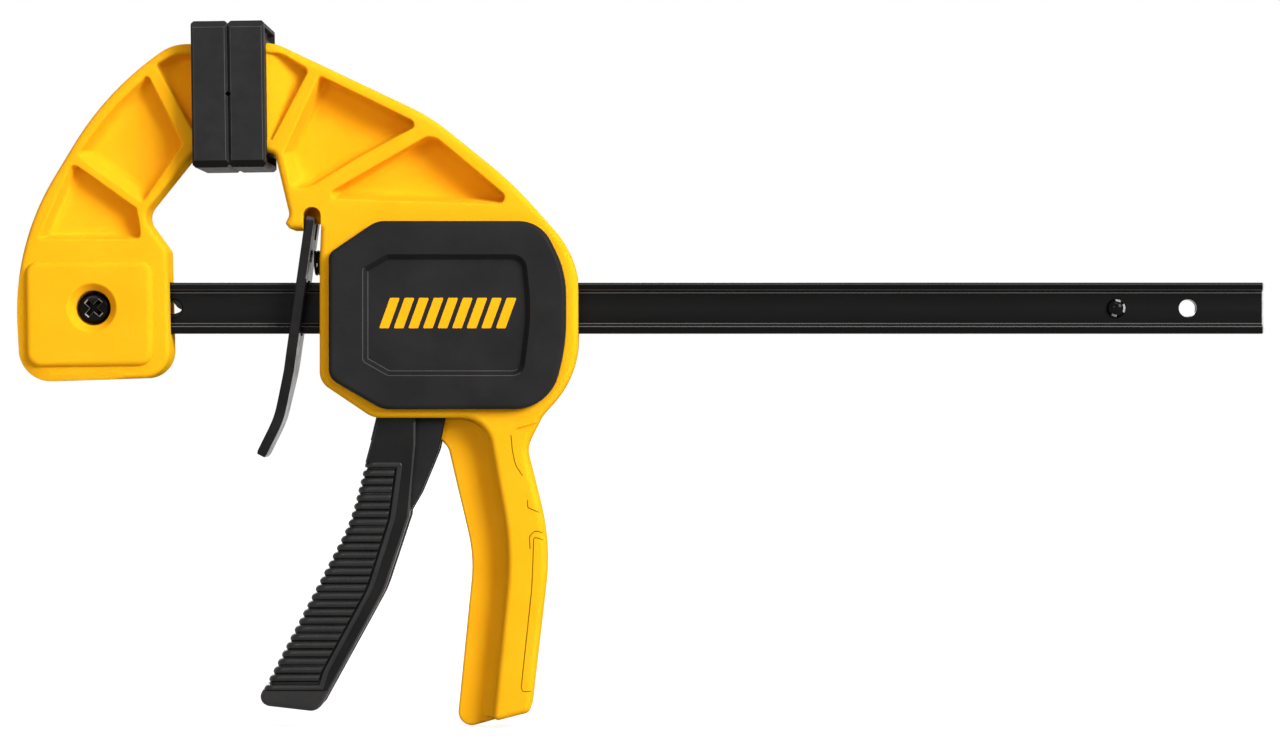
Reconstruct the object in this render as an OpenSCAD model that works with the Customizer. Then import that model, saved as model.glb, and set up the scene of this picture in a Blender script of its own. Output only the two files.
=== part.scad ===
// Quick release bar clamp: a one-handed bar clamp with a trigger and a release lever.
// X runs along the bar towards its free end, Y goes across it and Z points up.
// Sizes are in millimetres. Outlines are drawn in the XZ plane round the bar's axis, and the
// finished pieces are lowered so that the origin is the centre of the fixed pad's face.

/* [Bar] */
// Height of the bar's I-section
bar_h = 16; // [14:0.5:17]
// Width of the bar's flanges
bar_w = 6.4; // [5.4:0.2:7]
// Thickness of the bar's web
bar_web_t = 3; // [2:0.1:4]
// Thickness of the bar's flanges
bar_flange_t = 2.6; // [2:0.1:3.2]
// Length of bar between the closed pads and its free end
bar_reach = 321.5; // [260:0.5:620]
// Length of bar between the closed pads and its end in the fixed jaw
bar_tail = 62.5; // [60:0.5:63.5]
// Diameter of the holes through the web
bar_hole_d = 5.6; // [4:0.1:6.4]
// Distance from the free end to the hanging hole
hang_inset = 23.6; // [15:0.1:40]
// Distance from the hanging hole to the stop rivet
rivet_pitch = 22.4; // [15:0.1:40]
// Distance from the closed pads to the spare hole beside the fixed jaw
spare_hole_x = 18.7; // [15:0.1:19]
// Diameter of the stop rivet's domed head
rivet_head_d = 5.9; // [5:0.1:8]
// Height of the stop rivet's domed head
rivet_head_h = 2.2; // [1.5:0.1:3]
// Diameter of the stop rivet's shank
rivet_shank_d = 4; // [3:0.1:4.5]

/* [Pads] */
// Thickness of a pad along the bar
pad_t = 11.2; // [9:0.1:12]
// Width of a pad across the bar
pad_w = 36.5; // [32:0.5:42]
// Height of a pad
pad_h = 45.2; // [40:0.2:50]
// Height of the pads' centre over the bar's axis
pad_rise = 65.8; // [64:0.1:70]
// Lean of the closed pads from upright, in degrees
pad_lean = 0.8; // [0:0.1:1.5]
// Bevel along the top and bottom of a pad's outer sides
pad_bevel = 2.1; // [1:0.1:3]
// Bevel along a pad's other edges
pad_side_bevel = 0.8; // [0.4:0.1:1.5]
// Depth of the groove across a pad's clamping face
groove_depth = 0.9; // [0.5:0.1:1.5]
// Space between the closed pads
pad_gap = 0.2; // [0.1:0.1:1]
// Length of the tongue that carries a pad
tongue_l = 5.5; // [4:0.1:6]
// Width of the tongue that carries a pad
tongue_w = 10; // [6:0.5:12]
// Height of the tongue that carries a pad
tongue_h = 20; // [12:0.5:24]

/* [Fixed jaw] */
// Width of the fixed jaw across the bar
fixed_w = 17; // [15:0.5:20]
// Thickness of the web between the fixed jaw's ribs
fixed_web_t = 4; // [3:0.5:6]
// Height of the raised panel on each side of the fixed jaw's base
plateau_h = 2; // [1:0.1:3]
// Distance from the closed pads to the jaw screw
screw_x = 42.9; // [40:0.1:46]
// Diameter of the jaw screw's shank
screw_d = 5; // [4:0.1:5.4]
// Diameter of the jaw screw's head
screw_head_d = 10.2; // [8:0.1:11]
// Height of the jaw screw's head
screw_head_h = 2.4; // [2:0.1:3]
// Diameter of the dished recess round the jaw screw
recess_d = 14.4; // [13:0.1:16]
// Depth of the dished part of the recess
recess_depth = 3; // [2:0.1:4]
// Width of the square nut across its flats
nut_w = 8; // [7:0.1:9]
// Thickness of the square nut
nut_t = 3.2; // [2.5:0.1:3.6]

/* [Moving jaw] */
// Width of the moving jaw's housing and arm across the bar
body_w = 25; // [24:0.5:28]
// Thickness of the web between the moving jaw's ribs
arm_web_t = 4; // [3:0.5:6]
// Thickness of the handle's web
handle_web_t = 5; // [4:0.5:5.5]
// Height of a cover over the housing's side
cover_h = 4.5; // [4:0.1:6]
// Thickness of a cover's wall
cover_wall = 2.3; // [1.8:0.1:2.6]
// Width of housing between a cover's edge and the mechanism's space
cavity_inset = 3.2; // [2.5:0.1:4]
// Depth of the recessed panel in a cover
panel_depth = 1.1; // [0.6:0.1:1.5]
// Width of the bevel round a cover's edge
cover_bevel = 1.4; // [0.8:0.1:2]
// Depth of the rim that centres a cover in the housing
cover_rim_depth = 2; // [1:0.1:3]
// Thickness of the rim that centres a cover in the housing
cover_rim_t = 1.2; // [0.8:0.1:1.5]
// Diameter of the posts for the cover screws
post_d = 6; // [5:0.1:7]
// Diameter of the cover screws' heads
cover_screw_head_d = 5.2; // [4.5:0.1:6]
// Diameter of the cover screws' shanks
cover_screw_d = 2.8; // [2:0.1:3.5]

/* [Trigger] */
// Distance from the closed pads to the trigger's pin
pin_x = 62; // [60:0.1:64]
// Distance from the top of the bar up to the trigger's pin
pin_rise = 6.5; // [6:0.1:8]
// Diameter of the trigger's pin
pin_d = 6; // [4:0.1:7]
// Diameter of the hubs round the trigger's pin
hub_d = 10.4; // [9:0.1:11]
// Width of the trigger's grip across the bar
grip_w = 22; // [20:0.5:24]
// Width of the trigger's neck inside the housing
neck_w = 20.4; // [19:0.1:20.6]
// Width of the thinner fin behind the neck
fin_w = 13; // [12:0.5:14]
// Width of the channel that closes over the handle's web
channel_w = 8.8; // [8:0.1:9.4]
// Thickness of the trigger's front wall
front_wall = 4; // [3:0.1:5]
// Thickness of the soft grip over the trigger
skin_t = 1.2; // [0.8:0.1:1.6]
// Number of ribs on the soft grip
rib_count = 27; // [20:1:32]
// Height of the ribs on the soft grip
rib_h = 0.6; // [0.3:0.1:0.9]
// Drop from the trigger's pin to the nose that pushes the drive plates
nose_drop = 18.5; // [17:0.1:20]
// Radius of the nose that pushes the drive plates
nose_r = 2.8; // [2:0.1:3]

/* [Drive plates and springs] */
// Number of drive plates
plate_count = 3; // [3:1:3]
// Thickness of a drive plate
plate_t = 2.2; // [1.8:0.1:2.6]
// Width of a drive plate across the bar
plate_w = 21; // [19:0.5:22]
// Height of a drive plate
plate_h = 28; // [26:0.5:30]
// Space between one drive plate and the next
plate_gap = 0.2; // [0.1:0.1:0.4]
// Wire diameter of the drive spring
drive_wire_d = 1.8; // [1.4:0.1:2]
// Number of turns of the drive spring
drive_turns = 6; // [4:1:7]
// Wire diameter of the release spring
release_wire_d = 0.9; // [0.6:0.1:1]
// Outer diameter of the release spring
release_spring_d = 8; // [7:0.1:8.4]
// Number of turns of the release spring
release_turns = 4; // [3:1:6]
// Height of the release spring's axis over the top of the bar
release_spring_rise = 6.2; // [5.5:0.1:7]

/* [Release lever] */
// Thickness of the release lever's plate
lever_t = 3.1; // [2.5:0.1:3.2]
// Width of the release lever at the bar
lever_w = 20; // [18:0.5:22]
// Width of the release lever at its lower end
lever_tip_w = 15; // [12:0.5:18]
// Width of the notch in the release lever's top
notch_w = 6.4; // [6:0.1:8]
// Depth of the notch in the release lever's top
notch_depth = 7; // [6:0.1:8]
// Radius of the slot that holds the release lever's top
slot_r = 2.8; // [2.8:0.1:3]

/* [Fits] */
// Clearance of the bar in the housing and in the drive plates, each side
bar_clear = 0.2; // [0.1:0.05:0.3]
// Clearance of the bar in the fixed jaw, each side
socket_clear = 0.15; // [0.1:0.05:0.3]
// Clearance of the bar in the release lever's window, each side
window_clear = 0.6; // [0.5:0.05:0.8]
// Running clearance of the trigger on its pin, at the radius
pin_clear = 0.05; // [0.02:0.01:0.1]
// Clearance round screws, nuts, posts and tongues, each side
fit_clear = 0.15; // [0.1:0.05:0.2]
// Space between parts that only face each other
air = 0.3; // [0.2:0.05:0.4]

/* [Hidden] */

yellow = [1, 0.78, 0.06];
black = [0.13, 0.13, 0.14];
rubber_black = [0.19, 0.19, 0.2];
steel = [0.62, 0.63, 0.65];
arc_step = 7.5;   // Largest angle between two points of an arc
arc_sag = 1.2;    // Longest straight side of an arc
eps = 0.01;
wide = 100;       // Longer than anything is wide

bar_end_x = bar_reach;
hang_x = bar_end_x - hang_inset;
rivet_x = hang_x - rivet_pitch;
pin_z = bar_h / 2 + pin_rise;
spring_axis_z = bar_h / 2 + release_spring_rise;
tip_top = pad_rise + 16.2;
fixed_tip_bottom = pad_rise - 12.8;
moving_tip_bottom = pad_rise - 15.4;
cover_y = body_w / 2 + cover_h;

// Where the leaning back of a pad lies at height z: side -1 is the fixed pad
function pad_back_x(side, z) =
    side * (pad_t + (side > 0 ? pad_gap : 0)) / cos(pad_lean) + (pad_rise - z) * tan(pad_lean);

// ---- Outlines: a list of corners [x, z, radius], anticlockwise ----
function unit(v) = v / norm(v);
function flat(p) = [p[0], p[1]];
function turned(v) = [-v[1], v[0]];
function cross_z(a, b) = a[0] * b[1] - a[1] * b[0];
function before(points, i) = points[(i + len(points) - 1) % len(points)];
function after(points, i) = points[(i + 1) % len(points)];

// One rounded corner at p, between its neighbours a and b
function corner_arc(a, p, b, r) =
    let (
        u = unit(a - p), v = unit(b - p),
        half = acos(max(-1, min(1, u * v))) / 2
    )
    r <= 0 || half > 89.5 ? [p] :
    let (
        reach = min(r / tan(half), norm(a - p) * 0.75, norm(b - p) * 0.75),
        radius = reach * tan(half),
        centre = p + unit(u + v) * radius / sin(half),
        from = p + u * reach - centre,
        sweep = (180 - 2 * half) * sign(cross_z(p - a, b - p)),
        steps = max(2, ceil(abs(sweep) / arc_step), ceil(radius * abs(sweep) * PI / 180 / arc_sag / 4))
    )
    [for (i = [0:steps])
        let (t = sweep * i / steps)
        centre + [from[0] * cos(t) - from[1] * sin(t), from[0] * sin(t) + from[1] * cos(t)]];

function outline(points) = [
    for (i = [0:len(points) - 1])
        each corner_arc(flat(before(points, i)), flat(points[i]), flat(after(points, i)), points[i][2])
];

// The same outline with every side moved inwards by d
function inset(points, d) = [
    for (i = [0:len(points) - 1])
        let (
            p = flat(points[i]),
            n0 = turned(unit(p - flat(before(points, i)))),
            n1 = turned(unit(flat(after(points, i)) - p)),
            shift = d * (n0 + n1) / (1 + n0 * n1),
            inner = cross_z(n0, n1) > 0 ? points[i][2] - d : points[i][2] + d
        )
        [p[0] + shift[0], p[1] + shift[1], max(0, inner)]
];

// A strip of thickness t along an open path of [x, z, radius]
function strip(path, t) =
    let (
        n = len(path),
        dirs = [for (i = [0:n - 2]) unit(flat(path[i + 1]) - flat(path[i]))],
        side = [for (i = [0:n - 1])
            let (
                n0 = turned(dirs[max(0, i - 1)]),
                n1 = turned(dirs[min(n - 2, i)])
            )
            (n0 + n1) / (1 + n0 * n1)]
    )
    concat(
        [for (i = [0:n - 1]) [each flat(path[i]) - side[i] * t / 2, path[i][2]]],
        [for (i = [n - 1:-1:0]) [each flat(path[i]) + side[i] * t / 2, path[i][2]]]
    );

// ---- Outlines of the fixed jaw ----
fixed_rim = [
    [pad_back_x(-1, tip_top), tip_top, 0],
    [-18.5, tip_top, 14],
    [-39.2, tip_top - 15.1, 100],
    [-67.8, 19.5, 80],
    [-65.6, -23.1, 10],
    [-18.9, -21.6, 8.5],
    [-19.9, 17.8, 2.5],
    [-27.7, 28.5, 5],
    [pad_back_x(-1, fixed_tip_bottom), fixed_tip_bottom, 0]
];
fixed_pockets = [
    [[-10.9, 79.3, 0], [-17.3, 79.3, 10], [-23.9, 75.6, 1.5], [-12.1, 54.8, 0.8], [-10.9, 54.8, 0]],
    [[-26, 73, 1.5], [-37.6, 61.7, 60], [-48.3, 47.5, 2], [-27.4, 32.4, 1.5], [-14.8, 50.8, 1.5]],
    [[-48.4, 45.8, 1.5], [-60.4, 21, 1], [-26.9, 21, 1.5], [-29.4, 26.6, 6], [-29.2, 31.1, 1.5]]
];
plateau = [[-63.8, 14.4, 4], [-63.4, -18.4, 4.5], [-24, -17.9, 4.5], [-24.2, 14.4, 4]];

// ---- Outlines of the moving jaw ----
wall_left = 27.7;
wall_right = 107.7;
floor_z = -34.1;
beak_z = 25.1;
slot_x = 25.4;
slot_z = 28.4;
body_rim = [
    [pad_back_x(1, tip_top), tip_top, 0],
    [pad_back_x(1, moving_tip_bottom), moving_tip_bottom, 0],
    [13.6, 48.6, 3],
    [18.5, 28.9, 5],
    [16.5, 26.7, 1],
    [18.6, beak_z, 1],
    [28.1, beak_z, 0.5],
    [wall_left, 14.8, 20],
    [wall_left, -23, 6],
    [44.2, floor_z, 8],
    [79.2, floor_z, 9.5],
    [86.7, -75.3, 90],
    [81.3, -128.2, 1.5],
    [93, -125.2, 2.5],
    [99, -73.6, 70],
    [91.4, -43.6, 8],
    [96.3, -33.8, 8],
    [wall_right, -20.9, 30],
    [wall_right, 15.9, 28],
    [87.7, 38.4, 120],
    [62.1, 59.1, 60],
    [13.8, tip_top, 14]
];
arm_pockets = [
    [[10.9, 79.1, 0], [10.9, 52, 0], [13.2, 51.7, 0.5], [24.9, 73.6, 2], [15.8, 79.1, 8]],
    [[27.5, 72.2, 1.5], [16.3, 47.9, 2], [18.9, 36.6, 2.5], [24.4, 36.6, 8], [40, 46.2, 80], [59.6, 56.6, 2]],
    [[62.3, 54.2, 5], [26.5, 33.5, 1.8], [89.5, 31.5, 2.3]]
];
handle_web = [
    [62, floor_z + 1, 0], [62.5, -38.5, 0], [67.2, -43.6, 5], [75.1, -77.5, 45], [69.7, -131.6, 4.2],
    [84, -127.6, 0], [90, -76, 0], [84, floor_z + 1, 0]
];
cover_rim = [
    [96.3, 26.7, 11], [45.6, 26.7, 8], [30.9, 16.7, 3.5], [30.9, -21.9, 5], [47.4, -31.4, 9],
    [98.8, -31.4, 14], [104.1, -12.2, 60], [104.1, 11, 30]
];
panel = [
    [91.6, 16.3, 4.5], [49, 16.3, 3], [41.5, 12, 1.5], [41.5, -16.6, 1.5], [49.2, -21, 3],
    [91, -21, 4], [93.4, -1, 60]
];
cavity = inset(cover_rim, cavity_inset);
cavity_right = cover_rim[6][0] - cavity_inset;
post_places = [[42.5, 15], [92.5, 16], [91, -21], [41.5, -18]];

// ---- Outlines of the trigger ----
grip_top = floor_z - 3 * air;
grip_edge = [
    [45.2, grip_top, 0], [36.8, -66.5, 60], [8.4, -121.6, 3.5], [11.5, -123.4, 3],
    [27.1, -125.2, 4], [47.8, -87.6, 30], [55.4, -64.6, 2], [57.4, -42, 4], [57.4, grip_top, 0]
];
neck_edge = [
    [pin_x - hub_d / 2, pin_z, 0], [48.6, -14, 10], [45.6, -32, 0], [43.4, -41, 0],
    [56.7, -46, 0], [57.4, -32, 0], [pin_x + 3.4, -12, 3], [pin_x + hub_d / 2 - 1.2, pin_z, 0]
];
fin_edge = [
    [56, -20, 0], [54, -66, 0], [58.8, -57.6, 4], [64.4, -44.2, 10], [66.7, -33, 6], [pin_x + 2.6, -16.5, 2],
    [58, -16.5, 0]
];
channel = [
    [48 + front_wall, -14, 2], [45.4 + front_wall, -32, 0], [36.8 + front_wall, -66, 40],
    [11.6 + front_wall, -114.6, 3], [34.2, -126, 0], [64, -90, 0], [80, -40, 0], [80, 40, 0], [50, 40, 0],
    [50, -12.5, 0]
];
skin_border = [
    [0, -47.6, 0], [0, -140, 0], [22, -140, 0], [30.6, -112.6, 3], [44.4, -87, 30], [51.2, -65.4, 12],
    [53.6, -47.6, 1.5]
];
nose_x = pin_x + 3.2;

// ---- Release lever ----
lever_path = [[24.75, 28.3, 0.6], [18, -19.5, 40], [14.7, -34.5, 30], [9.3, -45.4, 0.6]];
lever_slope = (lever_path[0][0] - lever_path[1][0]) / (lever_path[0][1] - lever_path[1][1]);
lever_bar_x = lever_path[0][0] - lever_path[0][1] * lever_slope;
plates_x = nose_x + nose_r + 0.05;

// ---- Solids from outlines ----
module slab(points, width) {
    rotate([90, 0, 0]) linear_extrude(width, center = true) polygon(outline(points));
}

// A slab on one side only, from y0 outwards
module side_slab(points, side, y0, depth) {
    translate([0, side * (y0 + depth / 2), 0]) slab(points, depth);
}

module block(size, at) {
    translate(at) cube(size, center = true);
}

// A cylinder along Y, between two distances from the mid plane
module y_rod(x, z, d, y0, y1) {
    translate([x, y0, z]) rotate([-90, 0, 0]) cylinder(d = d, h = y1 - y0, $fn = 48);
}

module lowered() {
    translate([0, 0, -pad_rise]) children();
}

module bar_shape(clear, from, to) {
    block([to - from, bar_w + 2 * clear, bar_h + 2 * clear], [(from + to) / 2, 0, 0]);
}

// A coil of round wire along X, as one swept tube
module coil(from, to, mean_r, wire_d, turns, z) {
    sides = 6;
    steps = turns * 16;
    pitch_run = to - from - wire_d;
    rings = [for (i = [0:steps])
        let (a = 360 * turns * i / steps, x = from + wire_d / 2 + pitch_run * i / steps)
        [for (k = [0:sides - 1])
            let (b = 360 * k / sides, r = mean_r + wire_d / 2 * cos(b))
            [x + wire_d / 2 * sin(b), r * cos(a), z + r * sin(a)]]];
    polyhedron(
        points = [for (ring = rings) each ring],
        faces = concat(
            [[for (k = [0:sides - 1]) k]],
            [for (i = [0:steps - 1], k = [0:sides - 1])
                [i * sides + k, (i + 1) * sides + k, (i + 1) * sides + (k + 1) % sides, i * sides + (k + 1) % sides]],
            [[for (k = [sides - 1:-1:0]) steps * sides + k]]
        )
    );
}

// ---- Pieces on the bar ----
module bar() {
    side_cut = (bar_w - bar_web_t) / 2;
    color(black) lowered()
        difference() {
            bar_shape(0, -bar_tail, bar_end_x);
            for (side = [-1, 1])
                block([bar_end_x + bar_tail + 2, side_cut * 2, bar_h - 2 * bar_flange_t],
                    [(bar_end_x - bar_tail) / 2, side * bar_w / 2, 0]);
            for (x = [-spare_hole_x, hang_x])
                y_rod(x, 0, bar_hole_d, -bar_w, bar_w);
            y_rod(rivet_x, 0, rivet_shank_d, -bar_w, bar_w);
            y_rod(-screw_x, 0, screw_d + 2 * fit_clear, -bar_w, bar_w);
        }
}

module rivet_dome(side) {
    dome_r = (pow(rivet_head_d / 2, 2) + pow(rivet_head_h, 2)) / (2 * rivet_head_h);
    translate([rivet_x, side * bar_web_t / 2, 0]) rotate([-90 * side, 0, 0])
        intersection() {
            translate([0, 0, rivet_head_h - dome_r]) sphere(dome_r, $fn = 48);
            cylinder(d = rivet_head_d, h = rivet_head_h, $fn = 48);
        }
}

module stop_rivet() {
    color(black) lowered() {
        y_rod(rivet_x, 0, rivet_shank_d, -bar_web_t / 2, bar_web_t / 2);
        for (side = [-1, 1]) rivet_dome(side);
    }
}

// ---- Pads: side -1 is the fixed pad, side 1 the moving one ----
module pad_block() {
    b = pad_bevel;
    s = pad_side_bevel;
    x0 = pad_t / 2;
    y0 = pad_w / 2;
    z0 = pad_h / 2;
    intersection() {
        rotate([90, 0, 0]) linear_extrude(pad_w, center = true)
            polygon([[x0, z0 - s], [x0 - s, z0], [s - x0, z0], [-x0, z0 - s],
                [-x0, s - z0], [s - x0, -z0], [x0 - s, -z0], [x0, s - z0]]);
        rotate([90, 0, 90]) linear_extrude(pad_t, center = true)
            polygon([[y0, z0 - b], [y0 - b, z0], [b - y0, z0], [-y0, z0 - b],
                [-y0, b - z0], [b - y0, -z0], [y0 - b, -z0], [y0, b - z0]]);
        linear_extrude(pad_h, center = true)
            polygon([[x0, y0 - s], [x0 - s, y0], [s - x0, y0], [-x0, y0 - s],
                [-x0, s - y0], [s - x0, -y0], [x0 - s, -y0], [x0, s - y0]]);
    }
}

module pad(side) {
    face_x = side > 0 ? pad_gap : 0;
    rotate([0, -pad_lean, 0])
        difference() {
            translate([face_x + side * pad_t / 2, 0, 0]) pad_block();
            translate([face_x, 0, 0]) rotate([0, 45, 0])
                cube([groove_depth * sqrt(2), pad_w + 1, groove_depth * sqrt(2)], center = true);
            block([2 * (tongue_l + fit_clear), tongue_w + 2 * fit_clear, tongue_h + 2 * fit_clear],
                [face_x + side * pad_t, 0, 0]);
        }
}

module tongue(side) {
    face_x = side > 0 ? pad_gap : 0;
    lean_room = 1.5;
    translate([0, 0, pad_rise]) rotate([0, -pad_lean, 0])
        block([tongue_l + lean_room, tongue_w, tongue_h],
            [face_x + side * (pad_t - (tongue_l - lean_room) / 2), 0, 0]);
}

module fixed_pad() {
    color(rubber_black) pad(-1);
}

module moving_pad() {
    color(rubber_black) pad(1);
}

// ---- Fixed jaw ----
plateau_y = fixed_w / 2 + plateau_h;
head_seat_y = bar_w / 2 + socket_clear + 0.6;

module pockets(list, web_t, width) {
    depth = (width - web_t) / 2;
    for (side = [-1, 1], pocket = list)
        side_slab(pocket, side, web_t / 2, depth + 1);
}

module fixed_jaw() {
    well_d = screw_head_d + 2 * fit_clear + 0.4;
    color(yellow) lowered()
        difference() {
            union() {
                slab(fixed_rim, fixed_w);
                slab(plateau, 2 * plateau_y);
                tongue(-1);
            }
            pockets(fixed_pockets, fixed_web_t, fixed_w);
            bar_shape(socket_clear, -bar_tail - socket_clear, 0);
            y_rod(-screw_x, 0, screw_d + 2 * fit_clear, -plateau_y - 1, plateau_y + 1);
            y_rod(-screw_x, 0, well_d, -plateau_y - 1, -head_seat_y);
            translate([-screw_x, -plateau_y - eps, 0]) rotate([-90, 0, 0])
                cylinder(d1 = recess_d, d2 = well_d, h = recess_depth, $fn = 64);
            block([nut_w + 2 * fit_clear, 2 * (plateau_y - head_seat_y), nut_w + 2 * fit_clear],
                [-screw_x, plateau_y, 0]);
        }
}

module cross_recess(size, depth) {
    for (turn = [0, 90])
        rotate([0, 0, turn]) cube([size, size / 4.4, 2 * depth], center = true);
}

// Pan head with a cross recess: the head's flat side at the origin, the head along +Z
module pan_head(d, h) {
    difference() {
        union() {
            cylinder(d = d, h = h * 0.5, $fn = 48);
            translate([0, 0, h * 0.5]) cylinder(d1 = d, d2 = d * 0.72, h = h * 0.5, $fn = 48);
        }
        translate([0, 0, h]) rotate([0, 0, 20]) cross_recess(d * 0.56, h * 0.62);
    }
}

module jaw_screw() {
    color(black) lowered() {
        y_rod(-screw_x, 0, screw_d, -head_seat_y, head_seat_y + nut_t);
        translate([-screw_x, -head_seat_y, 0]) rotate([90, 0, 0]) pan_head(screw_head_d, screw_head_h);
    }
}

module jaw_nut() {
    color(steel) lowered()
        difference() {
            block([nut_w, nut_t, nut_w], [-screw_x, head_seat_y + nut_t / 2, 0]);
            y_rod(-screw_x, 0, screw_d, 0, head_seat_y + nut_t + 1);
        }
}

// ---- Moving jaw ----
module lever_slot() {
    cut_w = (body_w - arm_web_t) / 2 + 1;
    for (side = [-1, 1])
        translate([0, side * (arm_web_t / 2 + cut_w / 2), 0]) {
            y_rod(slot_x, slot_z, 2 * slot_r, -cut_w / 2, cut_w / 2);
            block([2 * slot_r, cut_w, slot_z - beak_z + 1], [slot_x, 0, (slot_z + beak_z - 1) / 2]);
        }
    web_z = 26.3;
    block([2 * slot_r, arm_web_t + 1, 4], [slot_x, 0, web_z - 2]);
}

// The way that the trigger's neck and fin take through the housing's floor
module trigger_opening() {
    neck_room = neck_w + 2 * air;
    fin_room = fin_w + 4 * air;
    top = cavity[4][1] + 1;
    left = 43.4;
    neck_run = 30;
    fin_run = 38;
    fin_depth = 5;
    block([neck_run, neck_room, top - floor_z + 2], [left + neck_run / 2, 0, (top + floor_z) / 2]);
    block([fin_run, fin_room, top - floor_z + fin_depth],
        [left + fin_run / 2, 0, (top + floor_z - fin_depth) / 2]);
}

module housing() {
    color(yellow) lowered() {
        difference() {
            union() {
                slab(body_rim, body_w);
                tongue(1);
            }
            pockets(arm_pockets, arm_web_t, body_w);
            slab(cavity, wide);
            lever_slot();
            trigger_opening();
            bar_shape(bar_clear, 0, wall_right + 5);
            translate([wall_left - 3, 0, spring_axis_z]) rotate([0, 90, 0])
                cylinder(d = release_spring_d + 4 * fit_clear, h = 7.2, $fn = 48);
        }
        slab(handle_web, handle_web_t);
    }
}

module cover_shell(side) {
    base_y = body_w / 2;
    inner_h = cover_h - cover_wall;
    difference() {
        hull() {
            side_slab(cover_rim, side, base_y, cover_h - cover_bevel);
            side_slab(inset(cover_rim, cover_bevel), side, base_y, cover_h);
        }
        hull() {
            side_slab(panel, side, cover_y - eps, 0.5);
            side_slab(inset(panel, 1.8), side, cover_y - panel_depth, 0.5);
        }
        side_slab(inset(cavity, cover_rim_t), side, base_y - 1, inner_h + 1);
    }
    difference() {
        side_slab(inset(cavity, fit_clear), side, base_y - cover_rim_depth, cover_rim_depth + eps);
        side_slab(inset(cavity, fit_clear + cover_rim_t), side, base_y - cover_rim_depth - 1, cover_rim_depth + 2);
    }
}

module cover(side) {
    inner_y = cover_y - cover_wall;
    post_tip = side < 0 ? 0 : 0.1;
    color(black) lowered()
        difference() {
            union() {
                cover_shell(side);
                for (place = post_places)
                    mirror([0, side < 0 ? 1 : 0, 0]) y_rod(place[0], place[1], post_d, post_tip, inner_y + eps);
                mirror([0, side < 0 ? 1 : 0, 0]) y_rod(pin_x, pin_z, hub_d, neck_w / 2 + air, inner_y + eps);
            }
            y_rod(pin_x, pin_z, pin_d + 2 * pin_clear, -inner_y, inner_y);
            for (place = post_places) {
                y_rod(place[0], place[1], cover_screw_d + (side > 0 ? 2 * fit_clear : 0),
                    side < 0 ? -inner_y : -1, side < 0 ? 1 : wide);
                if (side > 0)
                    y_rod(place[0], place[1], cover_screw_head_d + 2 * fit_clear, cover_y - cover_wall, wide);
            }
        }
}

module front_cover() {
    cover(-1);
}

module back_cover() {
    cover(1);
}

module cover_screws() {
    seat_y = cover_y - cover_wall;
    head_h = 1.7;
    color(steel) lowered()
        for (place = post_places) {
            y_rod(place[0], place[1], cover_screw_d, -seat_y + 2, seat_y);
            translate([place[0], seat_y, place[1]]) rotate([-90, 0, 0]) pan_head(cover_screw_head_d, head_h);
        }
}

module trigger_pin() {
    half_l = cover_y - cover_wall - 0.2;
    color(steel) lowered() y_rod(pin_x, pin_z, pin_d, -half_l, half_l);
}

// ---- Trigger ----
// The front of the grip that carries the soft skin: everything ahead of its rear border
module grip_zone(margin, width) {
    intersection() {
        slab(inset(grip_edge, 0), width);
        slab(inset(skin_border, margin), wide);
    }
}

// The skin's thickness over the trigger, measured from the grip's outer faces
module grip_layer(margin, depth) {
    difference() {
        grip_zone(margin, grip_w + 1);
        slab(inset(grip_edge, depth), grip_w - 2 * depth);
    }
}

module trigger() {
    color(black) lowered()
        difference() {
            union() {
                slab(grip_edge, grip_w);
                slab(neck_edge, neck_w);
                slab(fin_edge, fin_w);
                y_rod(pin_x, pin_z, hub_d, -neck_w / 2, neck_w / 2);
                y_rod(nose_x, pin_z - nose_drop, 2 * nose_r, -neck_w / 2, neck_w / 2);
            }
            grip_layer(0, skin_t);
            slab(channel, channel_w);
            y_rod(pin_x, pin_z, pin_d + 2 * pin_clear, -wide, wide);
        }
}

module trigger_grip() {
    rib_top = -48.6;
    rib_bottom = -117;
    pitch = (rib_top - rib_bottom) / rib_count;
    color(rubber_black) lowered()
        difference() {
            grip_zone(0, grip_w);
            slab(inset(grip_edge, skin_t), grip_w - 2 * skin_t);
            intersection() {
                grip_layer(1.5, rib_h);
                for (i = [0:rib_count - 1])
                    block([wide, wide, pitch / 2], [30, 0, rib_top - (i + 0.5) * pitch]);
            }
        }
}

// ---- Drive plates ----
module drive_plate(index) {
    x = plates_x + index * (plate_t + plate_gap) + plate_t / 2;
    color(steel) lowered()
        difference() {
            block([plate_t, plate_w, plate_h], [x, 0, 0]);
            bar_shape(bar_clear, x - plate_t, x + plate_t);
        }
}

module drive_plate_1() {
    drive_plate(0);
}

module drive_plate_2() {
    drive_plate(1);
}

module drive_plate_3() {
    drive_plate(2);
}

module drive_spring() {
    seat = plates_x + plate_count * (plate_t + plate_gap);
    inner_r = norm([bar_h / 2, bar_w / 2]) + air;
    color(steel) lowered()
        coil(seat, cavity_right - 0.05, inner_r + drive_wire_d / 2, drive_wire_d, drive_turns, 0);
}

module release_spring() {
    lever_x = lever_bar_x + spring_axis_z * lever_slope + lever_t / 2 + 0.45;
    color(steel) lowered()
        coil(lever_x, wall_left + 4.1, (release_spring_d - release_wire_d) / 2, release_wire_d,
            release_turns, spring_axis_z);
}

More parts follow.
